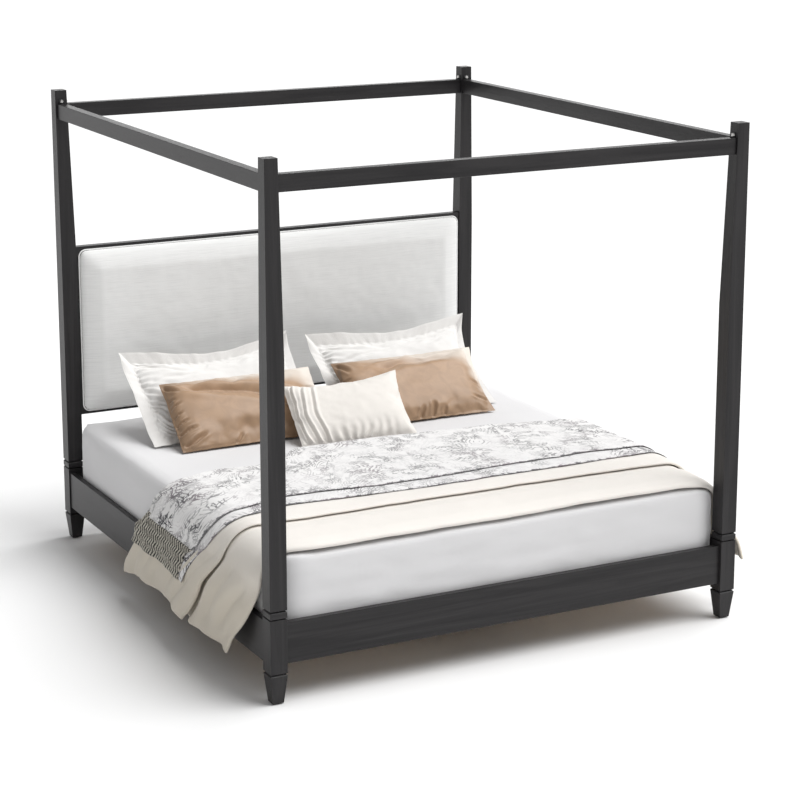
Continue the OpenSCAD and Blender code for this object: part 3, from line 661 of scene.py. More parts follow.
def make_pad():
    """The upholstered pad, its edge rolled back to the board."""
    low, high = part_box("headboard_pad")
    half_x, half_z = (high.x - low.x) / 2, (high.z - low.z) / 2
    middle = (low + high) / 2
    x, z = np.meshgrid(spaced(150, 2 * half_x, 0.075) * 2 * half_x - half_x,
                       spaced(64, 2 * half_z, 0.075) * 2 * half_z - half_z)
    x, z, inward = rounded_plan(x, z, half_x, half_z, BOARD_CORNER)
    roll = np.clip(inward / BOARD_ROLL, 0, 1)
    rise = 0.24 * (1 - np.exp(-inward / 0.005)) + 0.76 * (1 - (1 - roll) ** 1.35)
    out = PAD_EDGE + (high.y - low.y - PAD_DEPTH_LESS) * rise
    out = out + (0.002 * soft_noise(x, z, 0.22, 3, 2) + 0.0009 * soft_noise(x, z, 0.05, 4, 2)) * roll
    face = np.stack([middle.x + x, high.y - out, middle.z + z], -1)
    back = np.stack([middle.x + x * 0.997, np.full_like(x, high.y - 0.0005), middle.z + z * 0.997], -1)
    rows, columns = x.shape
    count = rows * columns
    number = np.arange(count).reshape(rows, columns)
    ring = border_loop(number)
    after = np.roll(ring, -1)
    wall = np.stack([ring, ring + count, after + count, after], -1)
    faces = np.vstack([cells(rows, columns), cells(rows, columns, count, True), wall])
    flat = np.stack([x, z], -1).reshape(-1, 2)
    points = np.vstack([face.reshape(-1, 3), back.reshape(-1, 3)])
    pad = new_piece("headboard_pad_cover", points, faces, np.vstack([flat, flat]))
    stand_for(pad, "headboard_pad", "headboard_linen", "frame")


def cord_path(half_x, half_z):
    """Even steps round a rectangle with rounded corners, as places and distances along the line."""
    path = []
    for corner_x, corner_z, start in ((1, 1, 0), (-1, 1, 90), (-1, -1, 180), (1, -1, 270)):
        for step in range(ARC_STEPS + 1):
            angle = math.radians(start + step * 90 / ARC_STEPS)
            path.append((corner_x * (half_x - BOARD_CORNER) + BOARD_CORNER * math.cos(angle),
                         corner_z * (half_z - BOARD_CORNER) + BOARD_CORNER * math.sin(angle)))
    closed = np.array(path + path[:1])
    run = np.concatenate([[0], np.cumsum(np.hypot(*np.diff(closed, axis=0).T))])
    at = np.linspace(0, run[-1], CORD_POINTS + 1)[:-1]
    return np.stack([np.interp(at, run, closed[:, k]) for k in (0, 1)], -1), at


def make_piping():
    """The piping cord round the pad, a tube whose radius varies a little."""
    low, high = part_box("headboard_piping")
    middle = (low + high) / 2
    line, at = cord_path((high.x - low.x) / 2 - BEAD_PLAY, (high.z - low.z) / 2 - BEAD_PLAY)
    ahead = np.roll(line, -1, axis=0) - np.roll(line, 1, axis=0)
    ahead /= np.linalg.norm(ahead, axis=1, keepdims=True)
    outward = np.stack([ahead[:, 1], -ahead[:, 0]], -1)
    turns = np.linspace(0, 2 * math.pi, CORD_SIDES + 1)[:-1]
    bead = 0.0031 + 0.00022 * soft_noise(at[:, None], turns[None, :] * 0.004, 0.012, 8)
    x, z = [line[:, None, k] + outward[:, None, k] * bead * np.cos(turns) for k in (0, 1)]
    points = np.stack([middle.x + x, middle.y + bead * np.sin(turns), middle.z + z], -1)
    number = np.arange(x.size).reshape(x.shape)
    side = np.roll(number, -1, 1)
    faces = np.stack([number, side, np.roll(side, -1, 0), np.roll(number, -1, 0)], -1).reshape(-1, 4)
    uv = np.stack([at[:, None] + 0 * x, turns * 0.003 + 0 * x], -1)
    piping = new_piece("headboard_piping_cord", points.reshape(-1, 3), faces, uv.reshape(-1, 2))
    stand_for(piping, "headboard_piping", "headboard_piping", "frame")


# ---------------------------------------------------------------- mattress

MATTRESS_HALF, HEAD_CORNER, FOOT_CORNER, RAIL_TOP = 0.986, 0.045, 0.118, 0.315


def foot_crown(x, y):
    """How much higher than the rest the bedding lies along the edge at the foot end."""
    crown = [(-1.1, -0.012), (-0.99, -0.008), (-0.92, -0.002), (-0.47, 0.002), (0.0, 0.003), (0.3, 0.006),
             (0.75, 0.008), (0.85, 0.001), (0.93, -0.014), (0.99, -0.024), (1.1, -0.030)]
    return curve(crown, x) * smooth(-0.70, -1.03, y)


def box_grid(xs, ys, zs):
    """The outer surface of a lattice as one closed mesh of quads."""
    number, points, faces = {}, [], []

    def point(i, j, k):
        if (i, j, k) not in number:
            number[i, j, k] = len(points)
            points.append((xs[i], ys[j], zs[k]))
        return number[i, j, k]

    a, b, c = len(xs) - 1, len(ys) - 1, len(zs) - 1
    for i in range(a):
        for j in range(b):
            faces.append([point(i, j, c), point(i + 1, j, c), point(i + 1, j + 1, c), point(i, j + 1, c)])
            faces.append([point(i, j + 1, 0), point(i + 1, j + 1, 0), point(i + 1, j, 0), point(i, j, 0)])
    for i in range(a):
        for k in range(c):
            faces.append([point(i, 0, k), point(i + 1, 0, k), point(i + 1, 0, k + 1), point(i, 0, k + 1)])
            faces.append([point(i + 1, b, k), point(i, b, k), point(i, b, k + 1), point(i + 1, b, k + 1)])
    for j in range(b):
        for k in range(c):
            faces.append([point(0, j + 1, k), point(0, j, k), point(0, j, k + 1), point(0, j + 1, k + 1)])
            faces.append([point(a, j, k), point(a, j + 1, k), point(a, j + 1, k + 1), point(a, j, k + 1)])
    return np.array(points), faces


def rolled_edge(inward, z, bottom, top, radius):
    """Moves the square rings along the top and bottom edges on to arcs.

    Gives the move outwards, the new height and how far out over its arc each point is, from 0 to 1.
    """
    depth = np.minimum(top - z, z - bottom)
    a, b = np.maximum(1 - inward / radius, 0), np.maximum(1 - depth / radius, 0)
    ring = np.maximum(a, b) / np.maximum(np.hypot(a, b), 1e-9)
    on_edge = (a > 0) & (b > 0)
    push = np.where(on_edge, a * ring - a, 0) * radius
    drop = (1 - b * ring) * radius
    moved = np.where(z > (top + bottom) / 2, top - drop, bottom + drop)
    return push, np.where(on_edge, moved, z), a


def creased_sides(x, y, z, nx, ny, a, half_y):
    """The sheet's bulge above the rails, its streaks and crumples, and the gathers round its corners."""
    swell = smooth(RAIL_TOP, 0.36, z) * (1 - smooth(0.46, 0.535, z)) * smooth(0, 1, a)
    edge_on = 1 - smooth(half_y - 0.30, half_y - 0.10, np.abs(y)) * np.abs(nx)
    x = x + nx * (0.010 * swell * edge_on)
    x = np.where(z < RAIL_TOP, np.clip(x, -MATTRESS_HALF, MATTRESS_HALF), x)
    out = smooth(0.0, 0.6, a)
    streak = 0.0007 * soft_noise(x, z, 0.014, 11) + 0.0022 * soft_noise(x, z * 3, 0.12, 12, 2)
    y = y - np.where(ny < 0, streak * out, 0)
    crumple = 0.0018 * soft_noise(y, z * 2.5, 0.10, 13, 2)
    x = x + nx * crumple * out * smooth(0.31, 0.34, z)
    corner = smooth(0.55, 0.75, np.minimum(np.abs(nx), np.abs(ny)) * 1.4)
    gather = np.abs(0.0016 * np.sin(np.arctan2(ny, nx) * 46) * corner)
    return x - nx * gather, y - ny * gather


def make_mattress():
    """A mattress in a fitted sheet: rounded in plan and along its edges, with a bulge above the rails."""
    low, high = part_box("mattress")
    bottom, top, middle_y = low.z, high.z, (low.y + high.y) / 2
    half_x, half_y = MATTRESS_HALF, (high.y - low.y) / 2
    xs = (spaced(60, 2 * half_x, FOOT_CORNER) - 0.5) * 2 * half_x
    ys = (spaced(64, 2 * half_y, FOOT_CORNER) - 0.5) * 2 * half_y
    zs = bottom + (top - bottom) * spaced(16, top - bottom, 0.05)
    points, faces = box_grid(xs, ys, zs)
    x, y, z = points.T
    upper = z > (top + bottom) / 2
    corner = np.where(y > 0, HEAD_CORNER, FOOT_CORNER)
    x, y, inward = rounded_plan(x, y, half_x, half_y, corner)
    nx = x - np.clip(x, corner - half_x, half_x - corner)
    ny = y - np.clip(y, corner - half_y, half_y - corner)
    length = np.maximum(np.hypot(nx, ny), 1e-9)
    nx, ny = nx / length, ny / length
    side = smooth(0.3, 0.9, np.abs(nx))
    radius = np.where(upper, 0.024 + (0.040 - 0.028 * smooth(-0.7, -1.0, y)) * side, 0.028)
    push, z, a = rolled_edge(inward, z, bottom, top, np.minimum(radius, corner))
    x, y = creased_sides(x + nx * push, y + ny * push, z, nx, ny, a, half_y)
    z = z + np.where(upper, 0.002 * soft_noise(x, y, 0.2, 14, 2), 0)
    under_duvet = bell(y + middle_y, -1.062, 0.020) * smooth(0.88, 0.80, np.abs(x))
    z = z - 0.007 * under_duvet * smooth(0.50, 0.54, z)
    z = z + foot_crown(x, y + middle_y) * smooth(0.40, 0.54, z)
    uv = np.stack([x + y, z + np.where(np.abs(nx) + np.abs(ny) > 0, 0, y)], -1)
    mattress = new_piece("mattress_sheeted", np.stack([x, y + middle_y, z], -1), faces, uv)
    stand_for(mattress, "mattress", "sheet_cotton", "mattress_set")


# ---------------------------------------------------------------- duvet and throw

BED_TOP, BED_SIDE, BED_ROLL = 0.545, 0.998, 0.095
FLAT_HALF = BED_SIDE - BED_ROLL
LOWER_LIFT, UPPER_LIFT, DUVET_REST = 0.0095, 0.0275, 0.0035
DUVET_RIGHT, THROW_LEFT, THROW_RIGHT = 1.285, -1.225, 1.215
THROW_WIDE, THROW_THICK, BAND_OVER = 2.44, 0.0022, 0.0006
# Folds of the hanging left side, each from a place to a place, with their width and depth.
LONG_FOLDS = (
    ((-1.02, -0.70), (-1.36, -0.30), 0.030, 0.010), ((-1.00, -0.52), (-1.33, -0.22), 0.026, 0.007))
SHORT_FOLDS = (
    ((-1.10, -0.93), (-1.32, -0.74), 0.024, 0.013), ((-1.04, -0.84), (-1.36, -0.62), 0.030, 0.014),
    ((-1.18, -0.10), (-1.37, 0.06), 0.022, 0.008))


def draped(s, y, lift):
    """The place of a point of cloth s metres across from the bed's middle line, over the edge and down."""
    run = np.abs(s) - FLAT_HALF
    turn = np.clip(run / BED_ROLL, 0, math.pi / 2)
    drop = np.maximum(run - BED_ROLL * math.pi / 2, 0)
    out = 0.025 * smooth(0, 0.14, drop) + 0.025 * smooth(0.08, 0.36, drop)
    x = np.minimum(np.abs(s), FLAT_HALF) + (BED_ROLL + lift) * np.sin(turn) + out
    z = BED_TOP - BED_ROLL + (BED_ROLL + lift) * np.cos(turn) - drop
    z = z + foot_crown(np.sign(s) * x, y) * (1 - smooth(0.05, 0.22, drop))
    return np.stack([np.sign(s) * x, y + 0 * x, z], -1)


def patch(front, rear, left, right, s_left, s_right, a, b):
    """Flat (s, y) places inside four edges: front and rear give y for s, left and right give s for y."""
    a, b = np.meshgrid(a, b)
    s_front = s_left[0] + (s_right[0] - s_left[0]) * a
    s_rear = s_left[1] + (s_right[1] - s_left[1]) * a
    s = s_front * (1 - b) + s_rear * b
    for hem, ends, share in ((left, s_left, 1 - a), (right, s_right, a)):
        y_hem = front(ends[0]) * (1 - b) + rear(ends[1]) * b
        s = s + share * (hem(y_hem) - (ends[0] * (1 - b) + ends[1] * b))
    return s, front(s_front) * (1 - b) + rear(s_rear) * b


def folded_cloth(halves, rear, hems, s_right, a, turns, depth):
    """A cloth folded in two at its rear edge, as s, y and how far round the fold, from 0 below to 1 above.

    halves has each half's front edge, the s of its left corners and its rows. The upper half's rows run from
    rear to front.
    """
    (s1, y1), (s2, y2) = [patch(front, rear, *hems, s_left, s_right, a, rows)
                          for front, s_left, rows in halves]
    steps = np.linspace(0, math.pi, turns + 2)[1:-1, None]
    s = np.vstack([s1, s1[-1] + 0 * steps, s2])
    y = np.vstack([y1, y1[-1] + depth * np.sin(steps), y2])
    return s, y, np.vstack([0 * s1, 0.5 - 0.5 * np.cos(steps) + 0 * s1[-1], 1 + 0 * s2])


def edge(*points):
    """A function that gives the smooth line through (position, value) points."""
    return lambda at: curve(points, at)


duvet_rear = edge(
    (-1.384, 0.218), (-1.34, 0.207), (-1.295, 0.176), (-1.232, 0.128), (-1.12, 0.02), (-1.0, -0.10),
    (-0.9, -0.15), (-0.6, -0.13), (-0.42, -0.06), (-0.3, 0.05), (0.1, 0.05), (0.4, 0.01), (0.55, 0.0),
    (0.9, -0.06), (1.05, -0.04), (1.285, 0.04))
duvet_upper_front = edge(
    (-1.377, -0.464), (-1.321, -0.526), (-1.248, -0.58), (-1.179, -0.621), (-1.119, -0.673),
    (-1.072, -0.705), (-1.023, -0.732), (-0.958, -0.752), (-0.88, -0.764), (-0.5, -0.768), (0.0, -0.764),
    (0.43, -0.768), (0.85, -0.787), (1.05, -0.80), (1.285, -0.84))
duvet_lower_front = edge(
    (-1.388, -0.829), (-1.314, -0.884), (-1.221, -0.953), (-1.136, -1.001), (-1.059, -1.025),
    (-0.97, -1.038), (-0.90, -1.055), (-0.8, -1.068), (-0.43, -1.070), (0.14, -1.069), (0.64, -1.069),
    (0.86, -1.066), (0.93, -1.052), (1.0, -1.042), (1.10, -1.040), (1.16, -1.045), (1.2, -1.07),
    (1.285, -1.098))
duvet_left_hem = edge(
    (-0.84, -1.388), (-0.716, -1.364), (-0.603, -1.356), (-0.474, -1.368), (-0.4, -1.352), (-0.28, -1.347),
    (-0.111, -1.353), (0.08, -1.363), (0.22, -1.384))
throw_rear = edge(
    (-1.225, 0.165), (-1.181, 0.165), (-1.12, 0.09), (-1.062, 0.05), (-0.995, -0.01), (-0.92, -0.04),
    (-0.75, 0.0), (-0.57, -0.015), (-0.45, 0.03), (-0.318, 0.15), (0.083, 0.13), (0.391, 0.09),
    (0.554, 0.085), (0.9, 0.019), (1.06, 0.03), (1.215, 0.08))
throw_upper_front = edge(
    (-1.225, -0.40), (-1.129, -0.407), (-1.099, -0.455), (-1.015, -0.563), (-0.973, -0.59),
    (-0.913, -0.597), (-0.821, -0.574), (-0.675, -0.53), (-0.3, -0.56), (-0.04, -0.573), (0.25, -0.553),
    (0.557, -0.547), (0.82, -0.563), (1.0, -0.575), (1.215, -0.62))
throw_lower_front = edge(
    (-1.225, -0.441), (-1.159, -0.48), (-1.077, -0.551), (-1.012, -0.634), (-0.966, -0.665),
    (-0.925, -0.672), (-0.851, -0.66), (-0.72, -0.628), (-0.4, -0.646), (-0.085, -0.655), (0.49, -0.66),
    (0.823, -0.654), (1.0, -0.665), (1.215, -0.70))


def duvet_right_hem(y):
    return DUVET_RIGHT + 0.012 * soft_noise(y, 0 * y, 0.16, 25, 2)


def throw_left_hem(y):
    return THROW_LEFT + 0.004 * soft_noise(y, 0 * y, 0.2, 33)


def throw_right_hem(y):
    return THROW_RIGHT + 0 * y


def hanging(s):
    """0 on the bed's top and 1 where the cloth hangs."""
    return smooth(1.0, 1.16, np.abs(s))


def hang_waves(s, y):
    """The folds that grow towards the hem where the cloth hangs. The shorter right side swings more."""
    waves = soft_noise(y + s * 0.25, s * 0.35, 0.085, 23, 2)
    right = np.where(s > 0, 1.0, 0.0)
    tail = 0.022 * right * smooth(1.06, 1.24, np.abs(s)) * smooth(-0.90, -1.05, y)
    return (0.010 + 0.004 * right) * smooth(1.08, 1.34 - 0.10 * right, np.abs(s)) * waves + tail


def puffs(s, y):
    """How unevenly the duvet's filling lies."""
    puff = 0.0035 * soft_noise(s, y, 0.17, 21, 2) + 0.0012 * soft_noise(s, y, 0.05, 22, 2)
    return puff * (0.6 + 0.4 * hanging(s))


def front_swell(s, y):
    """The bulge along the front edge of the duvet's upper half where it hangs."""
    return 0.026 * bell(duvet_upper_front(s) - y, -0.07, 0.10) * smooth(1.02, 1.14, np.abs(s))


def duvet_lift(s, y, part):
    """Height of the duvet's middle above the mattress."""
    hang = hanging(s)
    gap, rim = duvet_upper_front(s) - y, y - duvet_lower_front(s)
    lift = LOWER_LIFT + (UPPER_LIFT - LOWER_LIFT) * part + puffs(s, y) + DUVET_REST
    lobe = 0.040 * np.sin(math.pi * np.clip(gap / 0.30, 0, 1) ** 0.62) * (gap > 0)
    bare = 0.015 * smooth(0.0, 0.12, gap) * smooth(-0.01, 0.075, rim) + 0.0010 * smooth(0.03, 0.0, rim)
    lift = lift + (1 - part) * (lobe * hang + bare * (1 - hang)) + part * (gap < 0.001) * front_swell(s, y)
    return lift + hang_waves(s, y) + (s < 0) * folds(s, y, LONG_FOLDS + SHORT_FOLDS)


def make_duvet():
    """A duvet folded in two at its rear edge, its lower half further out at the foot than its upper."""
    rows = spaced(80, 1.0, 0.012)
    halves = ((duvet_lower_front, (-1.388, -1.384), rows[:-4]),
              (duvet_upper_front, (-1.377, -1.384), 1 - rows[4:]))
    hems, s_right = (duvet_left_hem, duvet_right_hem), (DUVET_RIGHT, DUVET_RIGHT)
    s, y, part = folded_cloth(halves, duvet_rear, hems, s_right, spaced(250, 2.67, 0.012), 5,
                              (UPPER_LIFT - LOWER_LIFT) / 2)
    grid = draped(s, y, duvet_lift(s, y, part))
    flat = np.stack([s, np.where(part == 1, 0.3 - y, y - 0.3)], -1)
    hang, rim = hanging(s), y - duvet_lower_front(s)
    thick = 0.0135 + 0.0035 * hang + 0.0085 * (1 - part) * smooth(0.10, 0.02, rim) * (1 - hang)
    duvet = shell("duvet_folded", grid, thick, 0.016, flat)
    stand_for(duvet, "duvet", "duvet_cotton", "mattress_set")


def throw_lift(s, y, part):
    """Height of the throw above the mattress: on the duvet, and down behind the duvet's rear edge."""
    hang = hanging(s)
    behind = smooth(0.004, 0.045, y - duvet_rear(s))
    duvet_half = 0.0070 + 0.0018 * hang
    under = UPPER_LIFT + DUVET_REST + duvet_half + puffs(s, y) + front_swell(s, y) + hang_waves(s, y)
    for crease in LONG_FOLDS:
        under = under + 0.4 * (s < 0) * np.maximum(fold(s, y, *crease), 0)
    ripple = 0.0022 * (1 + soft_noise(s * 0.8 + y, y * 0.5, 0.11, 31, 2)) * (1 - 0.5 * hang)
    own = THROW_THICK + part * (0.0042 + 0.5 * ripple) + ripple * 0.6
    return under * (1 - behind) + 0.012 * behind + own


def throw_points(a, rows):
    s_left, s_right = (THROW_LEFT, THROW_LEFT), (THROW_RIGHT, THROW_RIGHT)
    halves = ((throw_lower_front, s_left, rows), (throw_upper_front, s_left, 1 - rows))
    return folded_cloth(halves, throw_rear, (throw_left_hem, throw_right_hem), s_right, a, 3, 0.003)


def make_throw():
    """A printed throw folded in two at its rear edge. Its flat places have the fold line at 0."""
    s, y, part = throw_points(spaced(270, THROW_WIDE, 0.006), spaced(84, 0.75, 0.006))
    grid = draped(s, y, throw_lift(s, y, part))
    above = part > 0.5
    flat = np.stack([s, np.where(above, 1, -1) * (throw_rear(s) - y)], -1)
    front = y - np.where(above, throw_upper_front(s), throw_lower_front(s))
    throw = shell("throw_folded", grid, THROW_THICK, THROW_THICK, flat, np.stack([front, s], -1))
    stand_for(throw, "throw", "throw_print", "mattress_set")
    bands = [make_band("left", -1.2262, -1.092), make_band("right", 1.085, 1.2162)]


def make_band(side, low, high):
    """A knitted band over an end of the throw's upper half, ribbed in zigzags."""
    rows = spaced(240, 0.6, 0.004)
    across = spaced(60, 0.135, 0.003) * (high - low) + low
    places = throw_points((across - THROW_LEFT) / THROW_WIDE, rows)
    s, y, part = [values[len(rows) - 6:] for values in places]
    zigzag = np.abs((s / ZIGZAG_PITCH) % 1 - 0.5) * 2
    ribs = np.sin((y + zigzag * ZIGZAG_DEPTH) / RIB_PITCH * 2 * math.pi)
    away = smooth(0, 0.006, np.minimum(s - s.min(), s.max() - s))
    grid = draped(s, y, throw_lift(s, y, part) + BAND_OVER)
    band = shell("throw_band_" + side, grid, 0.0068 + 0.0040 * ribs * away, 0.0030, np.stack([s, y], -1))
    stand_for(band, "throw_bands", "throw_knit", "mattress_set")
    return band


# ---------------------------------------------------------------- pillows

# Middle across, width, height, how far back the lower edge is, lean and turn, in metres and degrees.
SIZES = {
    "sham_left": (-0.422, 0.830, 0.552, 0.467, 35, 0),
    "sham_right": (0.470, 0.836, 0.552, 0.467, 35, 0),
    "satin_pillow_left": (-0.397, 0.734, 0.390, 0.336, 35, 0),
    "satin_pillow_right": (0.432, 0.715, 0.390, 0.336, 35, 0),
    "lumbar_pillow": (-0.014, 0.530, 0.335, 0.165, 37, -6),
}
PILLOW_REST, FRAMES, PRESSURE = 0.551, 22, 4.0
PANEL_WIDER, PANEL_TALLER, FINER = 1.06, 1.07, 2
FLANGE_STEPS = (-0.35, 0.0, 0.05, 0.12, 0.3, 0.5, 0.7, 0.88, 1.0)
FLANGE_HALF = (0.0005, 0.0022, 0.0010, 0.0017, 0.0017, 0.0017, 0.0017, 0.0019, 0.0004)


def row_count(width, height, across):
    """How many rows of points a panel has that is across cells wide."""
    return max(8, round(across * height / width)) + 1


def pillow_sheet(width, height, across):
    """Two flat panels sewn along their border, as points, quads and the numbers round the seam."""
    rows, columns = row_count(width, height, across), across + 1
    x, y = np.meshgrid(np.linspace(-width / 2, width / 2, columns),
                       np.linspace(-height / 2, height / 2, rows))
    number, under, border = numbered(rows, columns)
    lift = 0.002 * (~border)
    front = np.stack([x, y, lift], -1).reshape(-1, 3)
    back = np.stack([x, y, -lift], -1).reshape(-1, 3)
    quads = np.vstack([cells(rows, columns), under.ravel()[cells(rows, columns, 0, True)]])
    used, small = np.unique(quads, return_inverse=True)
    return np.vstack([front, back])[used], small.reshape(-1, 4), np.searchsorted(used, border_loop(number))


def inflate(points, quads, seed):
    """Blows the two panels up with cloth pressure, gravity off, and gives the points it settles at."""
    start = points + np.random.default_rng(seed).normal(0, 0.0006, points.shape)
    obj = new_piece("inflating", start, quads)
    cloth = obj.modifiers.new("cloth", "CLOTH")
    settings = cloth.settings
    settings.quality = 5
    settings.mass = 0.25
    settings.air_damping = 2.0
    settings.tension_stiffness = settings.compression_stiffness = 18
    settings.shear_stiffness = 7
    settings.bending_stiffness = 0.15
    settings.tension_damping = settings.compression_damping = settings.shear_damping = 6
    settings.use_pressure = True
    settings.uniform_pressure_force = PRESSURE
    settings.effector_weights.gravity = 0
    cloth.point_cache.frame_start, cloth.point_cache.frame_end = 1, FRAMES
    cloth.collision_settings.use_collision = False
    cloth.collision_settings.use_self_collision = False
    scene.frame_start, scene.frame_end = 1, FRAMES
    for number in range(1, FRAMES + 1):
        scene.frame_set(number)
    result = obj.evaluated_get(bpy.context.evaluated_depsgraph_get())
    shape = result.to_mesh()
    settled = np.zeros(len(shape.vertices) * 3)
    shape.vertices.foreach_get("co", settled)
    result.to_mesh_clear()
    bpy.data.objects.remove(obj)
    scene.frame_set(1)
    return settled.reshape(-1, 3)


def refined(points, width, height, across):
    """A sheet with FINER times as many cells each way, and the settled panels' points on it."""
    rows, columns = row_count(width, height, across), across + 1
    front = points[:rows * columns].reshape(rows, columns, 3)
    back = front.copy()
    back[1:-1, 1:-1] = points[rows * columns:].reshape(rows - 2, columns - 2, 3)
    flat, quads, loop = pillow_sheet(width, height, across * FINER)
    column = np.clip((flat[:, 0] / width + 0.5) * (columns - 1), 0, columns - 1 - 1e-9)
    row = np.clip((flat[:, 1] / height + 0.5) * (rows - 1), 0, rows - 1 - 1e-9)
    i, j = row.astype(int), column.astype(int)
    a, b = (row - i)[:, None], (column - j)[:, None]
    panels = [(panel[i, j] * (1 - b) + panel[i, j + 1] * b) * (1 - a)
              + (panel[i + 1, j] * (1 - b) + panel[i + 1, j + 1] * b) * a for panel in (front, back)]
    return flat, quads, loop, np.where(flat[:, 2:] < 0, panels[1], panels[0])


def relaxed(points, quads, times):
    """Evens out a mesh a little, so that the finest buckles of a simulation go."""
    edges = np.vstack([quads[:, [0, 1]], quads[:, [1, 2]], quads[:, [2, 3]], quads[:, [3, 0]]])
    one, two = np.unique(np.sort(edges, axis=1), axis=0).T
    count = np.bincount(np.concatenate([one, two]), minlength=len(points))[:, None]
    for _ in range(times):
        total = [np.bincount(one, values[two], len(points)) + np.bincount(two, values[one], len(points))
                 for values in points.T]
        points = points * 0.5 + np.stack(total, -1) / count * 0.5
    return points


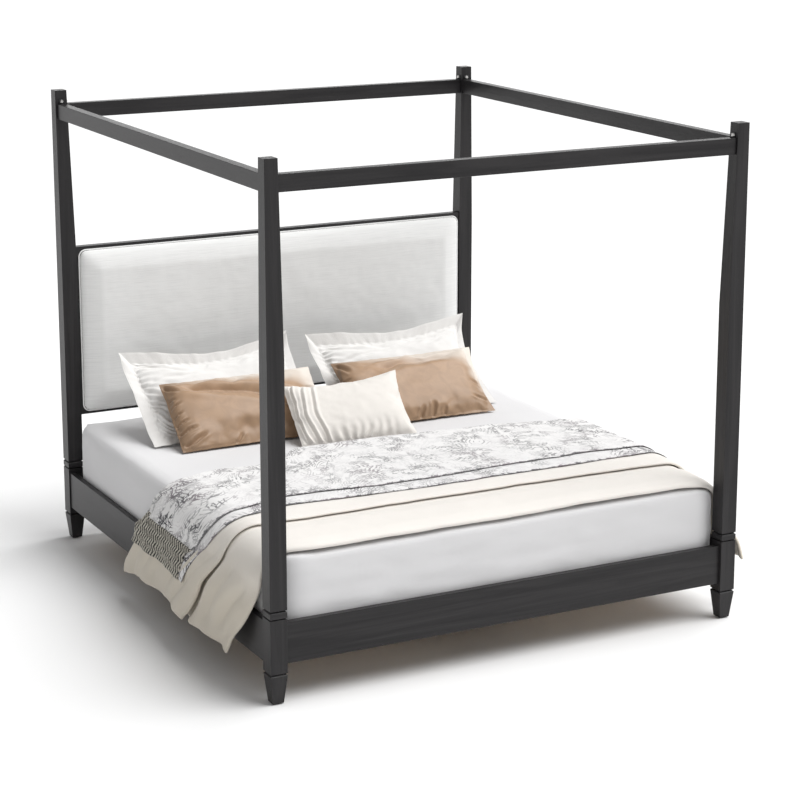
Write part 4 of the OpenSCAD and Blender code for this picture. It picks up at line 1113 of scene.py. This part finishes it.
class Pillow:
    """A pillow in its own plane: x across and y up from its middle, and z towards the foot of the bed."""

    def __init__(self, node, seed, across, crowns, flange=0.0, bow_power=1.0):
        """crowns has how far front and back stand out. A higher bow_power narrows its sides' curves."""
        self.node, self.bow_power = node, bow_power
        self.width, self.height = SIZES[node][1:3]
        width, height = self.inner = (self.width - 2 * flange, self.height - 2 * flange)
        wide, tall = width * PANEL_WIDER, height * PANEL_TALLER
        flat, self.quads, self.loop = pillow_sheet(wide, tall, across)
        settled = relaxed(inflate(flat, self.quads, seed), self.quads, 2)
        flat, self.quads, self.loop, fine = refined(settled, wide, tall, across)
        points = relaxed(fine, self.quads, 3)
        self.uv = flat[:, :2] / (wide, tall) + 0.5
        self.front = flat[:, 2] > 0
        low, high = points.min(0), points.max(0)
        points = points - (low + high) / 2 * (1, 1, 0)
        points = points * (width / (high[0] - low[0]), height / (high[1] - low[1]), 1)
        z = points[:, 2]
        points[:, 2] = np.where(z > 0, z * crowns[0] / high[2], z * crowns[1] / -low[2])
        self.points = points

    def push(self, amount):
        """Moves the front panel out by amount, which fades to nothing at the seam."""
        u, v = self.uv.T
        seam = smooth(0, 0.05, np.minimum.reduce([u, 1 - u, v, 1 - v]))
        self.points[:, 2] += amount * seam * self.front

    def side_shift(self, axis, end, hollow):
        """How far one side's seam has to move to curve in by hollow, as places from 0 to 1 and moves."""
        width, height = self.inner
        uv, place = self.uv[self.loop], self.points[self.loop]
        on = np.abs(uv[:, axis] - end) < 1e-6
        t, place = uv[on, 1 - axis], place[on]
        order = np.argsort(t)
        t, place = t[order], place[order]
        curved = hollow * (4 * t * (1 - t)) ** self.bow_power * (1 - 2 * end)
        goal_x = (t - 0.5) * width if axis else (end - 0.5) * width + curved
        goal_y = (end - 0.5) * height + curved if axis else (t - 0.5) * height
        shift = np.stack([goal_x - place[:, 0], goal_y - place[:, 1]], -1)
        reach = 4
        span = 2 * reach + 1
        padded = np.pad(shift, ((reach, reach), (0, 0)), "edge")
        even = np.stack([np.convolve(values, np.full(span, 1 / span), "valid") for values in padded.T], -1)
        inside = smooth(0, 0.08, np.minimum(t, 1 - t))[:, None]
        return t, shift * (1 - inside) + even * inside

    def trim(self, hollow, corners):
        """Draws the panels out so that the seam runs nearly straight from corner to corner.

        hollow is how far the bottom, top, left and right sides still curve in at their middle. corners has
        ((x, y), (dx, dy)) for the corners that are drawn out of line.
        """
        u, v = self.uv.T
        sides = ((1, 0), (1, 1), (0, 0), (0, 1))
        shifts = [self.side_shift(*side, depth) for side, depth in zip(sides, hollow)]
        bottom, top, left, right = [np.stack([np.interp(at, t, values) for values in shift.T], -1)
                                    for (t, shift), at in zip(shifts, (u, u, v, v))]
        u, v = u[:, None], v[:, None]
        blend = bottom * (1 - v) + top * v + left * (1 - u) + right * u
        for (_, shift), share in zip(shifts[:2], (1 - v, v)):
            blend = blend - (shift[0] * (1 - u) + shift[-1] * u) * share
        self.points[:, :2] += blend
        for corner, shift in corners:
            away = self.points[:, :2] - np.array(corner) * self.inner / 2
            near = np.exp(-(np.hypot(*away.T) / 0.20) ** 1.5)
            self.points[:, :2] += near[:, None] * shift

    def flange_edge(self, waves, hollow, tilt, corners):
        """The flange's outer edge: its sides curve in by hollow and its top edge stands out by tilt."""
        u, v = self.uv[self.loop].T
        half = np.array([self.width / 2, self.height / 2])
        bow_u, bow_v = (4 * u * (1 - u)) ** self.bow_power, 4 * v * (1 - v)
        bottom, top, left, right = hollow
        x = (u * 2 - 1) * half[0] + np.where(u < 1e-6, left, np.where(u > 1 - 1e-6, -right, 0)) * bow_v
        y = (v * 2 - 1) * half[1] + np.where(v < 1e-6, bottom, np.where(v > 1 - 1e-6, -top, 0)) * bow_u
        outer = np.stack([x, y, waves + tilt * smooth(0.8, 1.0, v)], -1)
        for corner, shift in corners.items():
            away = (np.stack([x, y], -1) - corner * half) / 0.16
            outer = outer + np.exp(-np.hypot(*away.T) ** 1.5)[:, None] * shift
        return outer

    def add_flange(self, wave, hollow, tilt, corners):
        """A flat two-layer border round the seam, with small puckers along it."""
        seam = self.points[self.loop]
        around = np.arange(len(seam)) / len(seam)
        waves = wave * soft_noise(around * 24, 0 * around, 1.0, 51, 3)
        outer = self.flange_edge(waves, hollow, tilt, corners)
        inward = seam * (0.965, 0.95, 1)
        rows = []
        for t in FLANGE_STEPS:
            base = seam + (inward - seam) * (-t / 0.35) if t < 0 else seam + (outer - seam) * t
            pucker = 0.0016 * math.exp(-max(t, 0) * 5) * np.sin(around * 372 + 2 * waves / wave)
            rows.append(base + pucker[:, None] * (0, 0, 1))
        half = np.array(FLANGE_HALF)[:, None, None] * (0, 0, 1)
        layers = np.stack([np.array(rows) + half, np.array(rows) - half])
        number = np.arange(layers[0, ..., 0].size).reshape(layers.shape[1:3])
        ahead, below = np.roll(number, -1, axis=1), number.size
        front = np.stack([number[:-1], ahead[:-1], ahead[1:], number[1:]], -1).reshape(-1, 4)[:, ::-1]
        ends = [np.stack([number[row], ahead[row], ahead[row] + below, number[row] + below], -1)
                for row in (0, -1)]
        faces = np.vstack([front, front[:, ::-1] + below, ends[0][:, ::-1], ends[1]])
        flat = np.vstack([self.uv[self.loop]] * (2 * len(rows)))
        self.quads = np.vstack([self.quads, faces + len(self.points)])
        self.points = np.vstack([self.points, layers.reshape(-1, 3)])
        self.uv = np.vstack([self.uv, flat])
        self.front = np.concatenate([self.front, np.zeros(len(flat), bool)])

    def place(self, slot, fill):
        """Sets the pillow on its lower edge, leaning back, and hands it to the mattress set."""
        across, _, _, foot, lean, turn = SIZES[self.node]
        x, up, out = self.points.T
        up = up + self.height / 2
        lean, turn = math.radians(lean), math.radians(turn)
        back = up * math.cos(lean) - out * math.sin(lean)
        rise = up * math.sin(lean) + out * math.cos(lean)
        place = np.stack([across + x * math.cos(turn) - back * math.sin(turn),
                          foot + x * math.sin(turn) + back * math.cos(turn), PILLOW_REST + rise], -1)
        piece = new_piece(self.node + "_cover", place, self.quads, self.uv)
        fine = piece.modifiers.new("fine", "SUBSURF")
        fine.levels = fine.render_levels = 1
        stand_for(piece, self.node, slot, "mattress_set")


# Creases, each from a place to a place in the panel's 0 to 1, with their width and depth.
SHAM_CREASES = (((0.02, 0.95), (0.34, 0.74), 0.03, 0.009), ((0.97, 0.9), (0.7, 0.7), 0.03, 0.008),
                ((0.10, 0.62), (0.40, 0.70), 0.02, 0.006))
LEFT_SATIN_CREASES = (
    ((0.01, 0.93), (0.15, 0.72), 0.013, 0.018), ((0.0, 0.72), (0.11, 0.66), 0.010, 0.015),
    ((0.0, 0.58), (0.13, 0.60), 0.010, 0.017), ((0.0, 0.46), (0.12, 0.50), 0.010, 0.017),
    ((0.01, 0.34), (0.14, 0.41), 0.010, 0.017), ((0.02, 0.22), (0.17, 0.32), 0.012, 0.018),
    ((0.04, 0.08), (0.20, 0.24), 0.014, 0.017), ((0.18, 0.80), (0.78, 0.47), 0.055, 0.024),
    ((0.62, 0.56), (0.80, 0.24), 0.024, 0.022), ((0.72, 0.40), (0.86, 0.36), 0.014, 0.014),
    ((0.34, 0.03), (0.40, 0.16), 0.011, 0.009), ((0.86, 0.04), (0.84, 0.20), 0.012, 0.010),
    ((0.99, 0.66), (0.86, 0.60), 0.014, 0.012))
RIGHT_SATIN_CREASES = (
    ((0.02, 0.92), (0.14, 0.72), 0.014, 0.014), ((0.01, 0.66), (0.12, 0.64), 0.011, 0.010),
    ((0.42, 0.02), (0.47, 0.22), 0.012, 0.012), ((0.51, 0.03), (0.55, 0.26), 0.012, 0.013),
    ((0.60, 0.03), (0.62, 0.18), 0.011, 0.010), ((0.30, 0.72), (0.85, 0.82), 0.060, 0.018),
    ((0.99, 0.40), (0.86, 0.46), 0.012, 0.011), ((0.97, 0.16), (0.84, 0.28), 0.012, 0.011))


def make_sham(node, seed, right, corners):
    """A white pillow with a flange, pleated at its left end. right is how far its right side curves in."""
    sham = Pillow(node, seed, 60, (0.050, 0.120), flange=0.046, bow_power=1.35)
    flat_corners = [(corner, shift[:2]) for corner, shift in corners.items()]
    sham.trim((0.006, 0.066, 0.004, right * 0.75), flat_corners)
    u, v = sham.uv.T
    pleats = np.sin((v + 0.7 * u) * 92 + 3 * soft_noise(v, u, 0.15, 61)) * smooth(0.24, 0.01, u)
    sham.push(0.0065 * pleats + 0.006 * soft_noise(u, v, 0.17, 62 + seed, 3) + folds(u, v, SHAM_CREASES))
    sham.add_flange(0.009, (0.004, 0.078, 0.004, right), 0.026, corners)
    sham.place("sham_cotton", 0.7)


def make_satin(node, seed, hollow, corner, creases):
    """A brown satin pillow. hollow is how far its right side curves in. corner is the one out of line."""
    satin = Pillow(node, seed, 64, (0.064, 0.030))
    satin.trim((0.004, 0.004, 0.006, hollow), [corner])
    u, v = satin.uv.T
    satin.push(folds(u, v, creases) + 0.006 * soft_noise(u, v, 0.2, 70 + seed, 2))
    satin.place("brown_satin", 0.6)


def make_lumbar():
    """A small cream pillow with three tucks at its left end and gathers along its lower edge."""
    lumbar = Pillow("lumbar_pillow", 5, 70, (0.064, 0.026))
    lumbar.trim((0.0, 0.024, 0.0, 0.020), [((1, 1), (0.008, 0.034))])
    u, v = lumbar.uv.T
    tucks = sum(0.8 * bell(u, at + 0.020, 0.011) - bell(u, at, 0.007) for at in (0.07, 0.15, 0.23))
    gathers = np.sin(u * 84 + 3 * soft_noise(u, v, 0.2, 63)) * smooth(0.34, 0.04, v) * smooth(0.90, 0.70, u)
    lumbar.push(0.0085 * tucks + 0.0062 * gathers + 0.003 * soft_noise(u, v, 0.2, 64, 3))
    lumbar.place("cream_cotton", 0.7)


def make_pillows():
    make_sham("sham_left", 1, 0.034, {(-1, 1): (0.0, -0.028, 0.010), (1, 1): (-0.02, -0.006, 0.0)})
    make_sham("sham_right", 2, 0.070, {(-1, 1): (-0.004, -0.048, 0.014), (1, 1): (-0.01, -0.020, 0.0),
                                       (1, -1): (-0.06, 0.0, 0.0)})
    make_satin("satin_pillow_left", 3, 0.016, ((-1, 1), (0.022, 0.0)), LEFT_SATIN_CREASES)
    make_satin("satin_pillow_right", 4, 0.030, ((1, -1), (-0.040, 0.0)), RIGHT_SATIN_CREASES)
    make_lumbar()


# ---------------------------------------------------------------- the whole bed

add_camera()
add_studio()
dress_frame()
make_pad()
make_piping()
make_mattress()
make_duvet()
make_throw()
make_pillows()
